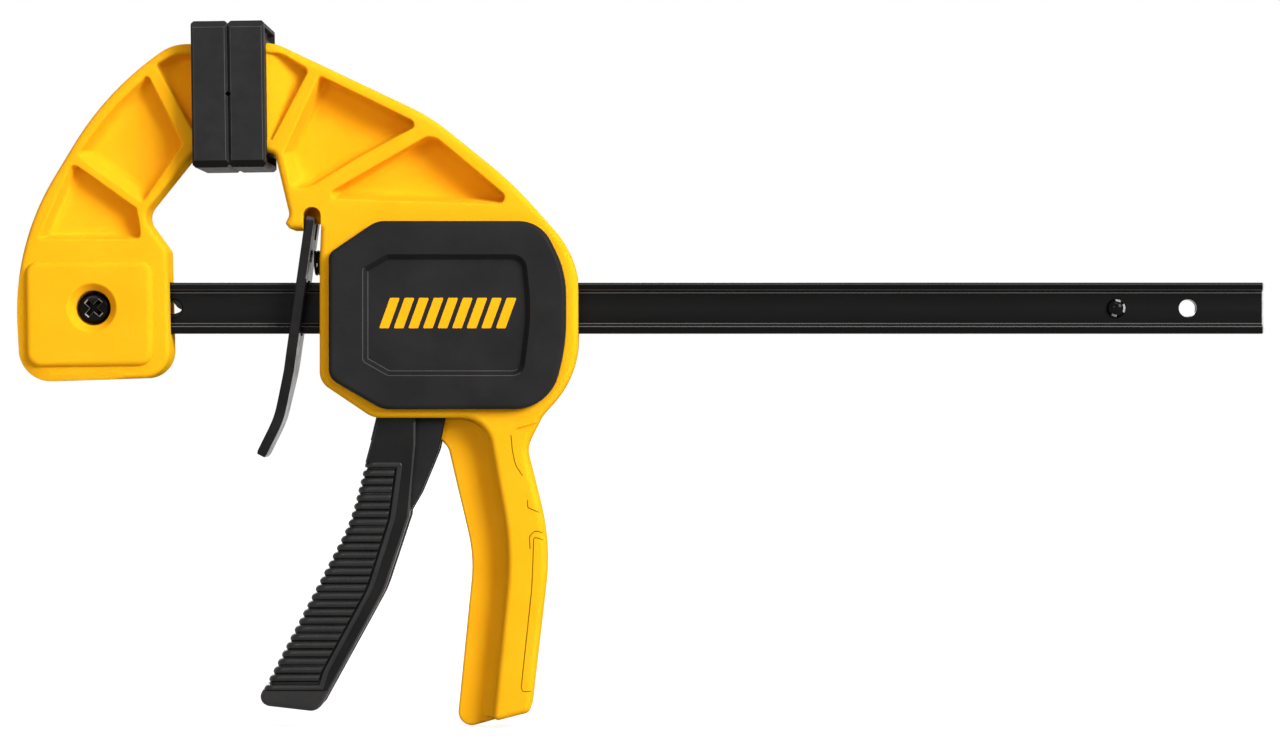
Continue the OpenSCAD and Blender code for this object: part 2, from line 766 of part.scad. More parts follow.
// ---- Release lever ----
module release_lever() {
    top_z = lever_path[0][1];
    tip_z = lever_path[3][1] - 2;
    face = [
        [lever_w / 2, top_z + 2, 0], [-lever_w / 2, top_z + 2, 0], [-lever_w / 2, -16, 12],
        [-lever_tip_w / 2, -30, 14], [-lever_tip_w / 2, tip_z, 4.5], [lever_tip_w / 2, tip_z, 4.5],
        [lever_tip_w / 2, -30, 14], [lever_w / 2, -16, 12]
    ];
    color(black) lowered()
        difference() {
            intersection() {
                slab(strip(lever_path, lever_t), lever_w + 1);
                rotate([90, 0, 90]) linear_extrude(2 * wide, center = true) polygon(outline(face));
            }
            block([wide, bar_w + 2 * window_clear, bar_h + 2 * window_clear], [lever_bar_x, 0, 0]);
            block([wide, notch_w, 2 * notch_depth], [lever_bar_x, 0, top_z]);
        }
}

bar();
stop_rivet();
fixed_jaw();
fixed_pad();
jaw_screw();
jaw_nut();
housing();
front_cover();
back_cover();
cover_screws();
moving_pad();
trigger_pin();
drive_spring();
release_spring();
trigger();
trigger_grip();
drive_plate_1();
drive_plate_2();
drive_plate_3();
release_lever();
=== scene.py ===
import math

import bmesh
import bpy
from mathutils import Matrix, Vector


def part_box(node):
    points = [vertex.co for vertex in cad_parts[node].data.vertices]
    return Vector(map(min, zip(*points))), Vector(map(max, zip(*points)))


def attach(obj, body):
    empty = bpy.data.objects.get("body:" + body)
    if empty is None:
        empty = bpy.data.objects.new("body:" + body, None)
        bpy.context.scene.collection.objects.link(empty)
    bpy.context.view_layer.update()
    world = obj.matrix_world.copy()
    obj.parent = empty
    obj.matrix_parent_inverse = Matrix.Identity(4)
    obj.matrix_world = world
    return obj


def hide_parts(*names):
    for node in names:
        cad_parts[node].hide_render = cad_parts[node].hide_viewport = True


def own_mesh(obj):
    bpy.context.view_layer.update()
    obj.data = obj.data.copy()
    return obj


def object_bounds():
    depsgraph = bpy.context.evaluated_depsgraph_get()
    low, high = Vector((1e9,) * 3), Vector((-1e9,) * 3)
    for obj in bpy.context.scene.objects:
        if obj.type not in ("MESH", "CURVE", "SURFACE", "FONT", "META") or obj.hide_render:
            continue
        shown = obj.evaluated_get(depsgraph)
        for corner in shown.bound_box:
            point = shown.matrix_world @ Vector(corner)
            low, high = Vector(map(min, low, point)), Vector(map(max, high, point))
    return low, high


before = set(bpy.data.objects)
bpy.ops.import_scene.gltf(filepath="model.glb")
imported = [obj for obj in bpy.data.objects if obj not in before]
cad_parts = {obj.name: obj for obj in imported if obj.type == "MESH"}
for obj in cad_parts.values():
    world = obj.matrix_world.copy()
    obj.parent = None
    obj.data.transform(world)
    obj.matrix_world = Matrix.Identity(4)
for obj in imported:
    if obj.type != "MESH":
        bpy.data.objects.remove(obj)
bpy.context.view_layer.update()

# Outlines are written in millimetres round the bar's axis, as [x, z, corner radius],
# and every mesh is made in metres in the part's own frame.
MM = 0.001
SIDES = (-1, 1)
# Heights of the pads' middle and of the jaws' tips over the bar's axis, and the pads.
PAD_RISE = 65.8
TIP_TOP = PAD_RISE + 16.2
PAD_T, PAD_GAP, PAD_LEAN = 11.2, 0.2, math.radians(0.8)
# Half thicknesses across the clamp.
BODY_HALF, FIXED_HALF, BASE_HALF, COVER_HALF = 12.5, 8.5, 10.5, 17.0
WEB_HALF, HANDLE_WEB_HALF = 2.0, 2.5
TRIGGER_HALF, NECK_HALF, FIN_HALF, FIN_WAY_HALF, CHANNEL_HALF, SKIN_HALF = 10.4, 10.2, 6.5, 7.1, 4.4, 11.0
# The bar's section, its ends, the clearances round it, and what sits along it.
BAR_HALF_H, BAR_HALF_W = 8.0, 3.2
BAR_START, BAR_END = -62.5, 321.5
BAR_CLEAR, SOCKET_CLEAR, COVER_CLEAR, WINDOW_CLEAR = 0.2, 0.15, 0.15, 0.6
JAW_SCREW_X, SPARE_HOLE_X, RIVET_X, HANG_HOLE_X = -42.9, -18.7, 275.5, 297.9
SPARE_HOLE_R, HANG_HOLE_R, SCREW_BORE_R, JAW_SEAT, NUT_HALF = 2.8, 2.8, 2.65, 3.95, 4.15
RELEASE_SPRING_Z = 14.2
# A rounding: the degrees and mm between its points, and its largest share of a side.
ARC_STEP, LONGEST_CHORD, ROUNDED_SHARE = 7.5, 2.4, 0.75
# Vertices this close, in m, are one; a turned shape closes at this radius, in mm.
SAME_POINT, AXIS_R = 2e-6, 0.005


# ---- outlines
def pad_back_x(side, z):
    reach = PAD_T + (PAD_GAP if side > 0 else 0)
    return side * reach / math.cos(PAD_LEAN) + (PAD_RISE - z) * math.tan(PAD_LEAN)


def sub(a, b):
    return (a[0] - b[0], a[1] - b[1])


def unit(v):
    size = math.hypot(v[0], v[1]) or 1.0
    return (v[0] / size, v[1] / size)


def sides_of(points):
    """The sides of a closed outline, as pairs of points."""
    return zip(points, points[1:] + points[:1])


def area(points):
    return sum(p[0] * q[1] - q[0] * p[1] for p, q in sides_of(points)) / 2


def half_angle(u, v):
    """Half the angle between two unit directions."""
    return math.acos(max(-1, min(1, u[0] * v[0] + u[1] * v[1]))) / 2


def inset_corners(corners, d):
    """The corners anticlockwise, their places moved inwards by d, and how far each one turns."""
    if area(corners) < 0:
        corners = corners[::-1]
    places, turns = [], []
    for i, p in enumerate(corners):
        u0 = unit(sub(p, corners[i - 1]))
        u1 = unit(sub(corners[(i + 1) % len(corners)], p))
        k = d / max(0.15, 1 + u0[0] * u1[0] + u0[1] * u1[1])
        places.append((p[0] - k * (u0[1] + u1[1]), p[1] + k * (u0[0] + u1[0])))
        turns.append(u0[0] * u1[1] - u0[1] * u1[0])
    return corners, places, turns


def moved_inwards(corners, d):
    """The corners of the same outline with every side moved inwards by d."""
    return [[*q, max(0, p[2] - d if turn > 0 else p[2] + d)]
            for p, q, turn in zip(*inset_corners(corners, d))]


def ring(corners, d=0.0):
    """The points of a rounded outline moved inwards by d; their number doesn't depend on d."""
    corners, places, turns = inset_corners(corners, d)
    points = []
    for i, (p, q, turn) in enumerate(zip(corners, places, turns)):
        after = (i + 1) % len(corners)
        to_last, to_next = sub(corners[i - 1], p), sub(corners[after], p)
        u, v = unit(to_last), unit(to_next)
        half = half_angle(u, v)
        if p[2] <= 0 or half > math.radians(89.5):
            points.append(q)
            continue
        bend = 1 if turn > 0 else -1
        sweep = bend * (math.pi - 2 * half)
        base_r = math.tan(half) * min(p[2] / math.tan(half), ROUNDED_SHARE * math.hypot(*to_last),
                                      ROUNDED_SHARE * math.hypot(*to_next))
        steps = max(2, math.ceil(abs(math.degrees(sweep)) / ARC_STEP),
                    math.ceil(base_r * abs(sweep) / LONGEST_CHORD))
        reach = min(max(0.0, base_r - bend * d) / math.tan(half),
                    ROUNDED_SHARE * math.hypot(*sub(places[i - 1], q)),
                    ROUNDED_SHARE * math.hypot(*sub(places[after], q)))
        out = reach / math.cos(half)
        w = unit((u[0] + v[0], u[1] + v[1]))
        centre = (q[0] + w[0] * out, q[1] + w[1] * out)
        start = (q[0] + u[0] * reach - centre[0], q[1] + u[1] * reach - centre[1])
        for k in range(steps + 1):
            c, s = math.cos(sweep * k / steps), math.sin(sweep * k / steps)
            points.append((centre[0] + start[0] * c - start[1] * s,
                           centre[1] + start[0] * s + start[1] * c))
    return points


def smooth_path(path, step):
    """Points along an open path of [x, z, radius], with its corners rounded."""
    points = [tuple(path[0][:2])]
    for before, p, after in zip(path, path[1:], path[2:]):
        to_last, to_next = sub(before, p), sub(after, p)
        u, v = unit(to_last), unit(to_next)
        reach = min(p[2] / math.tan(half_angle(u, v)), 0.49 * math.hypot(*to_last),
                    0.49 * math.hypot(*to_next))
        a = (p[0] + u[0] * reach, p[1] + u[1] * reach)
        b = (p[0] + v[0] * reach, p[1] + v[1] * reach)
        count = max(3, int(2 * reach / step))
        for k in range(count + 1):
            t = k / count
            points.append(tuple((1 - t) ** 2 * a[j] + 2 * t * (1 - t) * p[j] + t * t * b[j]
                                for j in (0, 1)))
    points.append(tuple(path[-1][:2]))
    return points


def with_steps(path, step_at):
    """The path without its last point, and with more points, about step_at(point) apart."""
    dense = []
    for a, b in zip(path, path[1:]):
        count = max(1, int(math.hypot(*sub(a, b)) / step_at(a)))
        dense += [(a[0] + (b[0] - a[0]) * k / count, a[1] + (b[1] - a[1]) * k / count)
                  for k in range(count)]
    return dense


def directions(path):
    """The unit direction of an open path at each of its points."""
    return [unit(sub(path[min(len(path) - 1, i + 1)], path[max(0, i - 1)]))
            for i in range(len(path))]


def distances(path):
    """How far along an open path each of its points is."""
    run = [0.0]
    for a, b in zip(path, path[1:]):
        run.append(run[-1] + math.hypot(*sub(a, b)))
    return run


def strip_points(path, t):
    """A closed strip of thickness t along a path."""
    left, right = [], []
    for p, u in zip(path, directions(path)):
        left.append((p[0] - u[1] * t / 2, p[1] + u[0] * t / 2))
        right.append((p[0] + u[1] * t / 2, p[1] - u[0] * t / 2))
    return right + left[::-1]


def ease(t):
    """From 0 to 1 with a soft start and end, while t goes from 0 to 1."""
    t = max(0.0, min(1.0, t))
    return t * t * (3 - 2 * t)


def quarter_turn(count):
    """The angles from 0 to 90 degrees in count steps."""
    return [k * math.pi / 2 / count for k in range(count + 1)]


def circle(sides):
    """The cosine and sine of equal steps round a circle."""
    return [(math.cos(2 * math.pi * k / sides), math.sin(2 * math.pi * k / sides))
            for k in range(sides)]


def rectangle(a, b):
    """The corners of a rectangle round the origin, from half its sides."""
    return [(-a, -b), (a, -b), (a, b), (-a, b)]


def span(side, low, high):
    """Two depths on one side of the middle, the smaller number first."""
    return sorted((side * low, side * high))


# ---- meshes
def place(x, y, z):
    return Vector((x * MM, y * MM, (z - PAD_RISE) * MM))


def linked(name, data):
    """A new object in the scene."""
    obj = bpy.data.objects.new(name, data)
    bpy.context.scene.collection.objects.link(obj)
    return obj


def new_object(name, bm):
    """A new object from a finished bmesh, with its doubles merged and its normals outwards."""
    bmesh.ops.remove_doubles(bm, verts=bm.verts, dist=SAME_POINT)
    bmesh.ops.dissolve_degenerate(bm, edges=bm.edges, dist=1e-7)
    bmesh.ops.recalc_face_normals(bm, faces=bm.faces)
    mesh = bpy.data.meshes.new(name)
    bm.to_mesh(mesh)
    bm.free()
    return linked(name, mesh)


def discard(obj):
    mesh = obj.data
    bpy.data.objects.remove(obj)
    bpy.data.meshes.remove(mesh)


def band(bm, a, b, closed=True):
    """Faces between two rows of as many vertices."""
    n = len(a)
    for i in range(n if closed else n - 1):
        j = (i + 1) % n
        bm.faces.new((a[i], a[j], b[j], b[i]))


def skin(bm, rings):
    """Faces through closed rings of (x, y, z) points. Returns the rings' vertices."""
    made = [[bm.verts.new(place(*p)) for p in points] for points in rings]
    for a, b in zip(made, made[1:]):
        band(bm, a, b)
    return made


def loft(name, rings, caps=(True, True)):
    """A shape through closed rings of (x, y, z) points, with a flat face at each end in caps."""
    bm = bmesh.new()
    made = skin(bm, rings)
    for wanted, end in zip(caps, (made[0], made[-1])):
        if wanted:
            bm.faces.new(end)
    return new_object(name, bm)


def filled(name, bm, levels, axis=1):
    """A new object, with the flat faces filled in that the open edges at the levels leave."""
    bmesh.ops.remove_doubles(bm, verts=bm.verts, dist=SAME_POINT)
    for value in levels:
        edges = [e for e in bm.edges if e.is_boundary
                 and all(abs(v.co[axis] - value * MM) < 2e-7 for v in e.verts)]
        bmesh.ops.triangle_fill(bm, use_beauty=True, use_dissolve=False, edges=edges)
    return new_object(name, bm)


def round_edge(radius, width):
    """(inset, height) pairs over a rounded outer edge, from the side wall to the face."""
    return [(radius * (1 - math.cos(t)), width - radius * (1 - math.sin(t)))
            for t in quarter_turn(4)]


def pocket_profile(width):
    """(inset, height) pairs from a pocket's rounded mouth down its drafted wall to its floor."""
    lip, draft, fillet, steps = 0.8, math.radians(6), 3.0, 5
    foot = lip / 2 + (width - lip - WEB_HALF - fillet) * math.tan(draft)
    pairs = [(lip * (math.sin(t) - 0.5), width - lip * (1 - math.cos(t))) for t in quarter_turn(steps)]
    return pairs + [(foot + fillet * (1 - math.cos(t)), WEB_HALF + fillet * (1 - math.sin(t)))
                    for t in quarter_turn(steps)]


def leaning(profile, dx, dz):
    """The same profile with its floor moved sideways: one wall steeper, one gentler."""
    top, floor = profile[0][1], profile[-1][1]
    return [(d, h, dx * (top - h) / (top - floor), dz * (top - h) / (top - floor)) for d, h in profile]


def moulded(name, rim, y0, y1, edge0, edge1, holes=()):
    """A slab between y0 and y1 with rounded edges. holes are (outline, side, profile), with side
    -1 for y0 and 1 for y1 and a profile of (inset, height outwards on that side, dx, dz)."""
    pairs = [(d, -h) for d, h in reversed(round_edge(edge0, -y0))] if edge0 else [(0, y0)]
    pairs += round_edge(edge1, y1) if edge1 else [(0, y1)]
    bm = bmesh.new()
    skin(bm, [[(x, y, z) for x, z in ring(rim, d)] for d, y in pairs])
    floors = {y0, y1}
    for outline, side, profile in holes:
        skin(bm, [[(x + dx, side * h, z + dz) for x, z in ring(outline, d)]
                  for d, h, dx, dz in profile])
        floors.add(side * profile[-1][1])
    return filled(name, bm, sorted(floors))


def both_ways(name, rim, half, edge, holes=()):
    """A moulded slab that is the same on both sides."""
    return moulded(name, rim, -half, half, edge, edge, holes)


def pocket_cutter(outline, side, profile):
    """A cutter for a pocket that runs out over the end of its part."""
    lip, top = profile[0]
    bm = bmesh.new()
    skin(bm, [[(x, side * h, z) for x, z in ring(outline, d)] for d, h in [(lip, top + 1), *profile]])
    return filled("pocket", bm, (side * (top + 1), side * profile[-1][1]))


def slab(name, points, y0, y1):
    """A plain slab from finished points."""
    bm = bmesh.new()
    skin(bm, [[(x, y, z) for x, z in points] for y in (y0, y1)])
    return filled(name, bm, (y0, y1))


def turned_on_y(name, x, z, pairs, sides=64):
    """A shape turned round an axis along Y through (x, z), from (radius, y) pairs."""
    return loft(name, [[(x + r * c, y, z + r * s) for c, s in circle(sides)] for r, y in pairs],
                [pairs[0][0] > AXIS_R * 2, pairs[-1][0] > AXIS_R * 2])


def turned_on_x(name, z, pairs, sides):
    """A shape turned round an axis along X at height z, from (radius, x) pairs."""
    return loft(name, [[(x, r * c, z + r * s) for c, s in circle(sides)] for r, x in pairs])


def box(name, x0, x1, y0, y1, z0, z1, bevel=0.0):
    bm = bmesh.new()
    v = [bm.verts.new(place(x, y, z)) for x in (x0, x1) for y in (y0, y1) for z in (z0, z1)]
    for f in ((0, 1, 3, 2), (4, 6, 7, 5), (0, 4, 5, 1), (2, 3, 7, 6), (0, 2, 6, 4), (1, 5, 7, 3)):
        bm.faces.new([v[i] for i in f])
    if bevel:
        bmesh.ops.bevel(bm, geom=bm.edges[:], offset=bevel * MM, segments=3, profile=0.5,
                        affect="EDGES", clamp_overlap=True)
    return new_object(name, bm)


def apply_modifiers(obj):
    graph = bpy.context.evaluated_depsgraph_get()
    graph.update()
    mesh = bpy.data.meshes.new_from_object(obj.evaluated_get(graph))
    obj.modifiers.clear()
    old = obj.data
    obj.data = mesh
    mesh.name = obj.name
    bpy.data.meshes.remove(old)


def combine(obj, others, operation):
    """Joins or cuts obj with each of the others in turn, and removes them."""
    for other in others:
        step = obj.modifiers.new("step", "BOOLEAN")
        step.solver = "EXACT"
        step.operation = operation
        step.object = other
        apply_modifiers(obj)
        discard(other)
    return obj


def cut(obj, *others):
    return combine(obj, others, "DIFFERENCE")


def join(obj, *others):
    return combine(obj, others, "UNION")


def finish_mesh(obj):
    """Smooth shading that stays flat on flat faces and sharp over real corners."""
    bm = bmesh.new()
    bm.from_mesh(obj.data)
    bmesh.ops.remove_doubles(bm, verts=bm.verts, dist=1e-6)
    bmesh.ops.dissolve_degenerate(bm, edges=bm.edges, dist=5e-7)
    bm.to_mesh(obj.data)
    bm.free()
    obj.data.shade_smooth()
    obj.data.set_sharp_from_angle(angle=math.radians(32))
    weigh = obj.modifiers.new("weigh", "WEIGHTED_NORMAL")
    weigh.keep_sharp = True
    weigh.weight = 80
    apply_modifiers(obj)


# ---- the pieces' outlines
FIXED_RIM = [
    [pad_back_x(-1, TIP_TOP), TIP_TOP, 0], [-18.5, TIP_TOP, 14], [-39.2, TIP_TOP - 15.1, 100],
    [-67.8, 19.5, 80], [-65.6, -23.1, 10], [-18.9, -21.6, 8.5], [-19.9, 17.8, 2.5], [-27.7, 28.5, 5],
    [pad_back_x(-1, PAD_RISE - 12.8), PAD_RISE - 12.8, 0]]
FIXED_POCKETS = [
    [[-4, 79.3, 0], [-17.3, 79.3, 10], [-23.9, 75.6, 1.5], [-12.1, 54.8, 0.8], [-4, 54.8, 0]],
    [[-26, 73, 1.5], [-37.6, 61.7, 60], [-48.3, 47.5, 2], [-27.4, 32.4, 1.5], [-14.8, 50.8, 1.5]],
    [[-49.6, 45.6, 2.2], [-60.4, 21, 1], [-27.9, 21, 1.8], [-28.3, 26, 5], [-29.3, 31, 1]]]
PLATEAU = [[-63.8, 14.4, 4], [-63.4, -18.4, 4.5], [-24, -17.9, 4.5], [-24.2, 14.4, 4]]
BODY_RIM = [
    [pad_back_x(1, TIP_TOP), TIP_TOP, 0], [pad_back_x(1, PAD_RISE - 16.8), PAD_RISE - 16.8, 0],
    [13.9, 47.6, 2], [18.4, 28.7, 3], [17.1, 26.1, 0.6], [18.4, 24.5, 0.5], [28.1, 24.5, 0.5],
    [27.7, 14.8, 20], [27.7, -23, 6], [44.2, -34.1, 8], [79.2, -34.1, 9.5], [86.7, -75.3, 90],
    [81.3, -128.2, 1.5], [93, -125.2, 2.5], [99, -73.6, 70], [91.4, -43.6, 8], [96.3, -33.8, 8],
    [107.7, -20.9, 30], [107.7, 15.9, 28], [87.7, 38.4, 120], [62.1, 59.1, 60], [13.8, TIP_TOP, 14]]
ARM_POCKETS = [
    [[4, 79.1, 0], [4, 52, 0], [13.2, 51.7, 0.5], [24.9, 73.6, 2], [15.8, 79.1, 8]],
    [[27.5, 72.2, 1.5], [16.3, 47.9, 2], [18.9, 36.6, 2.5], [24.4, 36.6, 8], [40, 46.2, 80],
     [59.6, 56.6, 2]],
    [[62.3, 54.2, 5], [26.5, 33.5, 1.8], [89.5, 31.5, 2.3]]]
HANDLE_WEB = [
    [62, -33.1, 0], [62.5, -38.5, 0], [67.2, -43.6, 5], [75.1, -77.5, 45], [69.7, -131.6, 4.2],
    [84, -127.6, 0], [90, -76, 0], [84, -33.1, 0]]
COVER_RIM = [
    [96.3, 26.7, 11], [45.6, 26.7, 8], [30.9, 16.7, 3.5], [30.9, -21.9, 5], [47.4, -31.4, 9],
    [98.8, -31.4, 14], [104.1, -12.2, 60], [104.1, 11, 30]]
PANEL = [
    [91.6, 16.3, 4.5], [49, 16.3, 3], [41.5, 12, 1.5], [41.5, -16.6, 1.5], [49.2, -21, 3],
    [91, -21, 4], [93.4, -1, 60]]
CAVITY = moved_inwards(COVER_RIM, 3.2)
POST_PLACES = [[42.5, 15], [92.5, 16], [91, -21], [41.5, -18]]
GRIP_TOP = -35.0
GRIP_EDGE = [
    [45.2, GRIP_TOP, 0], [36.8, -66.5, 60], [8.4, -121.6, 3.5], [11.5, -123.4, 3],
    [27.1, -125.2, 4], [47.8, -87.6, 30], [55.4, -64.6, 2], [57.4, -42, 4], [57.4, GRIP_TOP, 0]]
PIN = (62.0, 14.5)
NECK_EDGE = [
    [56.8, 14.5, 0], [48.6, -14, 10], [45.6, -32, 0], [43.4, -41, 0],
    [56.7, -46, 0], [57.4, -32, 0], [65.4, -12, 3], [66, 14.5, 0]]
FIN_EDGE = [
    [56, -20, 0], [54, -66, 0], [58.8, -57.6, 4], [64.4, -44.2, 10], [66.7, -33, 6],
    [64.6, -16.5, 2], [58, -16.5, 0]]
CHANNEL = [
    [52, -14, 2], [49.4, -32, 0], [40.8, -66, 40], [15.6, -114.6, 3], [34.2, -126, 0],
    [64, -90, 0], [80, -40, 0], [80, 40, 0], [50, 40, 0], [50, -12.5, 0]]
SKIN_BORDER = [
    [0, -47.6, 0], [0, -140, 0], [22, -140, 0], [30.6, -112.6, 3], [44.4, -87, 30], [51.2, -65.4, 12],
    [53.6, -47.6, 1.5]]
PALM_SEAMS = [
    [[87, -39.4, 0], [87.4, -44, 6], [88.4, -48.7, 6], [90.6, -52, 0]],
    [[92.1, -59.5, 0], [92.2, -61.8, 0.6], [98.6, -64.6, 0]],
    [[92.9, -74.6, 0], [92.7, -70.6, 2], [94.5, -68.9, 1.5], [99.5, -70.6, 0]],
    [[99.5, -72.5, 0], [94, -70.9, 0.8], [93.8, -78, 20], [93.4, -87.3, 40], [91.4, -105.8, 40],
     [90.2, -117.3, 1.2], [90.6, -118.8, 1], [96, -118.4, 0]]]
PALM_FACET = [[87.2, -37.7, 0.3], [95.2, -35.4, 0.3], [94, -38.2, 0.5]]
SEAM_W, SEAM_DEPTH, FACET_DEPTH = 0.28, 0.6, 0.9
LEVER_TOP, LEVER_END = 28.3, -45.9
LEVER_PATH = [[24.75, LEVER_TOP, 0], [18, -19.5, 40], [14.7, -34.5, 30], [9.05, LEVER_END, 0]]
UNDER_SKIN = [
    [0, -47.9, 0], [0, -118.4, 0], [25, -118.4, 0], [30.1, -112.6, 3], [43.9, -87, 30],
    [50.7, -65.4, 12], [53, -47.9, 1.5]]
SKIN_TOP, SKIN_BOTTOM = -47.7, -118.6
RIB_TOP, RIB_BOTTOM, RIB_COUNT = -48.7, -117.2, 27
BAR_QUARTER = [[BAR_HALF_W, BAR_HALF_H, 0.75], [BAR_HALF_W, 5.75, 0.3], [1.5, 5, 0.5]]
BAR_SECTION = [[sy * y, sz * z, r] for sy, sz, order in ((1, -1, 1), (1, 1, -1), (-1, 1, 1), (-1, -1, -1))
               for y, z, r in BAR_QUARTER[::order]]
PANEL_PROFILE = [(-0.1, 17), (0.1, 16.8), (1.35, 15.02), (1.55, 14.86), (1.6, 14.86)]


# ---- parts of pieces
def copy_of(node, bevel):
    """A CAD node's mesh as a new piece, with its flat faces whole and its edges rounded; the rounded faces
    above its foot get its second material, a painted highlight."""
    bm = bmesh.new()
    bm.from_mesh(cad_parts[node].data)
    bmesh.ops.remove_doubles(bm, verts=bm.verts, dist=1e-6)
    bmesh.ops.dissolve_limit(bm, angle_limit=math.radians(1), verts=bm.verts, edges=bm.edges)
    edges = [e for e in bm.edges if len(e.link_faces) == 2
             and e.calc_face_angle(0) > math.radians(20)]
    bmesh.ops.bevel(bm, geom=edges, offset=bevel * MM, segments=3, profile=0.5,
                    affect="EDGES", clamp_overlap=True, material=1)
    foot = min(v.co.z for v in bm.verts) + 0.003
    for face in bm.faces:
        if face.material_index == 1 and face.calc_center_median().z < foot:
            face.material_index = 0
    return new_object(node + "_looks", bm)


def merged(name, objects):
    """One piece from several closed ones."""
    bm = bmesh.new()
    for obj in objects:
        bm.from_mesh(obj.data)
        discard(obj)
    return new_object(name, bm)


def two_slots(piece):
    """Room for a second material on a piece that is still without any."""
    while len(piece.data.materials) < 2:
        piece.data.materials.append(None)
    return piece


def mark(piece, test, slot=1):
    """Gives another material to the faces that pass, by centre in mm and normal."""
    two_slots(piece)
    for face in piece.data.polygons:
        c = face.center / MM
        if test((c.x, c.y, c.z + PAD_RISE), face.normal):
            face.material_index = slot
    return piece


def fillet_wedge(path, side, y_web, radius):
    """A concave fillet between a wall along path and the web's face at y_web."""
    under, behind = y_web - 0.4, -0.5
    section = [(behind, under), (radius, under)]
    section += [(radius * (1 - math.sin(t)), y_web + radius * (1 - math.cos(t)))
                for t in quarter_turn(5)]
    section.append((behind, y_web + radius))
    return loft("fillet", [[(p[0] + u[1] * d, side * h, p[1] - u[0] * d) for d, h in section]
                           for p, u in zip(path, directions(path))])


def edge_slope(path, side, face, width, slope):
    """A cutter that slopes a face down towards its outline along a path, fading in at its ends."""
    fade, over, past = 14, 0.3, 1.5
    path = with_steps(path, lambda p: 1.2)
    run = distances(path)
    rings = []
    for p, u, s in zip(path, directions(path), run):
        w = width * ease(min(s, run[-1] - s) / fade) - 0.1
        section = ((-w - over / slope, face + over), (past, face + over),
                   (past, face - (w + past) * slope))
        rings.append([(p[0] + u[1] * d, side * y, p[1] - u[0] * d) for d, y in section])
    return loft("edge_slope", rings)


def past_pad(rim, side):
    """The same rim with the end at its pad moved 3 mm further, so that its edge can be cut square."""
    return [[x - 3 * side if abs(x - pad_back_x(side, z)) < 0.01 else x, z, r] for x, z, r in rim]


def pad_room(side):
    """A cutter for all that reaches past the back of a pad."""
    z0, z1 = PAD_RISE - 30, PAD_RISE + 30
    return slab("pad_room", [(pad_back_x(side, z0), z0), (pad_back_x(side, z1), z1), (0, z1), (0, z0)],
                -20, 20)


END_WALL_Z, END_WALL_T = (PAD_RISE - 14, TIP_TOP - 1), 0.9


def end_plate(side, half):
    """The thin wall that closes a jaw's last pocket against its pad."""
    inner = [(pad_back_x(side, z), z) for z in END_WALL_Z]
    return slab("end_plate", inner + [(x + side * END_WALL_T, z) for x, z in inner[::-1]], -half, half)


def end_slope(side):
    """The sloping floor of the arm's last pocket, from its foot up to the pad."""
    section = ((0, 1.5), (0, 11.6), (0.3, 11.5), (12, 6.2), (12, 1.5))
    wedge = loft("end_slope", [[(pad_back_x(1, z) + d, side * y, z) for d, y in section]
                               for z in END_WALL_Z])
    zone = slab("pocket_zone", ring(ARM_POCKETS[0]), -13, 13)
    return combine(wedge, [zone], "INTERSECT")


def bar_room(name, x0, x1, clear):
    """A cutter for the bar with a clearance round it."""
    w, h = BAR_HALF_W + clear, BAR_HALF_H + clear
    return box(name, x0, x1, -w, w, -h, h)


def tongue(x0, x1):
    """The part of a jaw that reaches into its pad."""
    return box("tongue", x0, x1, -5, 5, PAD_RISE - 10, PAD_RISE + 10)


def pockets(outlines, profile, dx, dz):
    """Pockets on both sides, with their floors moved sideways."""
    lean = leaning(profile, dx, dz)
    return [(outline, side, lean) for outline in outlines for side in SIDES]


# ---- the pieces
def make_fixed_jaw():
    profile = pocket_profile(FIXED_HALF)
    body = both_ways("fixed_jaw_body", past_pad(FIXED_RIM, -1), FIXED_HALF, 1.55,
                     pockets(FIXED_POCKETS[1:], profile, 2.1, 1.0))
    cut(body, pad_room(-1))
    cut(body, *[pocket_cutter(FIXED_POCKETS[0], side, profile) for side in SIDES])
    join(body, end_plate(-1, FIXED_HALF - 0.5))
    # The base's border slopes down its left side and along its bottom.
    border_w, border_slope = 3.2, 0.36
    edge = [p for p in ring(FIXED_RIM) if p[1] < 19 and (p[0] < -60 or p[1] < -10)]
    start = max(range(len(edge)), key=lambda i: edge[i][1] if edge[i][0] < -60 else -99)
    edge = [p for p in edge[start:] + edge[:start] if p[0] < -24]
    cut(body, *[edge_slope(edge, side, FIXED_HALF, border_w, border_slope) for side in SIDES])
    join(body, both_ways("base", PLATEAU, BASE_HALF, 1.95), tongue(-11.5, -6))
    lip = [(8.7, -11.5), (8.1, -10.5), (7.7, -10.42), (7.4, -10.2), (7.2, -9.8),
           (5.6, -7.6), (5.45, -7.2), (5.45, -JAW_SEAT)]
    return cut(body,
               turned_on_y("recess", JAW_SCREW_X, 0, lip),
               turned_on_y("bore", JAW_SCREW_X, 0, [(SCREW_BORE_R, -12), (SCREW_BORE_R, 12)], 32),
               box("nut_recess", JAW_SCREW_X - NUT_HALF, JAW_SCREW_X + NUT_HALF, JAW_SEAT, 12,
                   -NUT_HALF, NUT_HALF),
               bar_room("bar_room", BAR_START - SOCKET_CLEAR, 5, SOCKET_CLEAR))


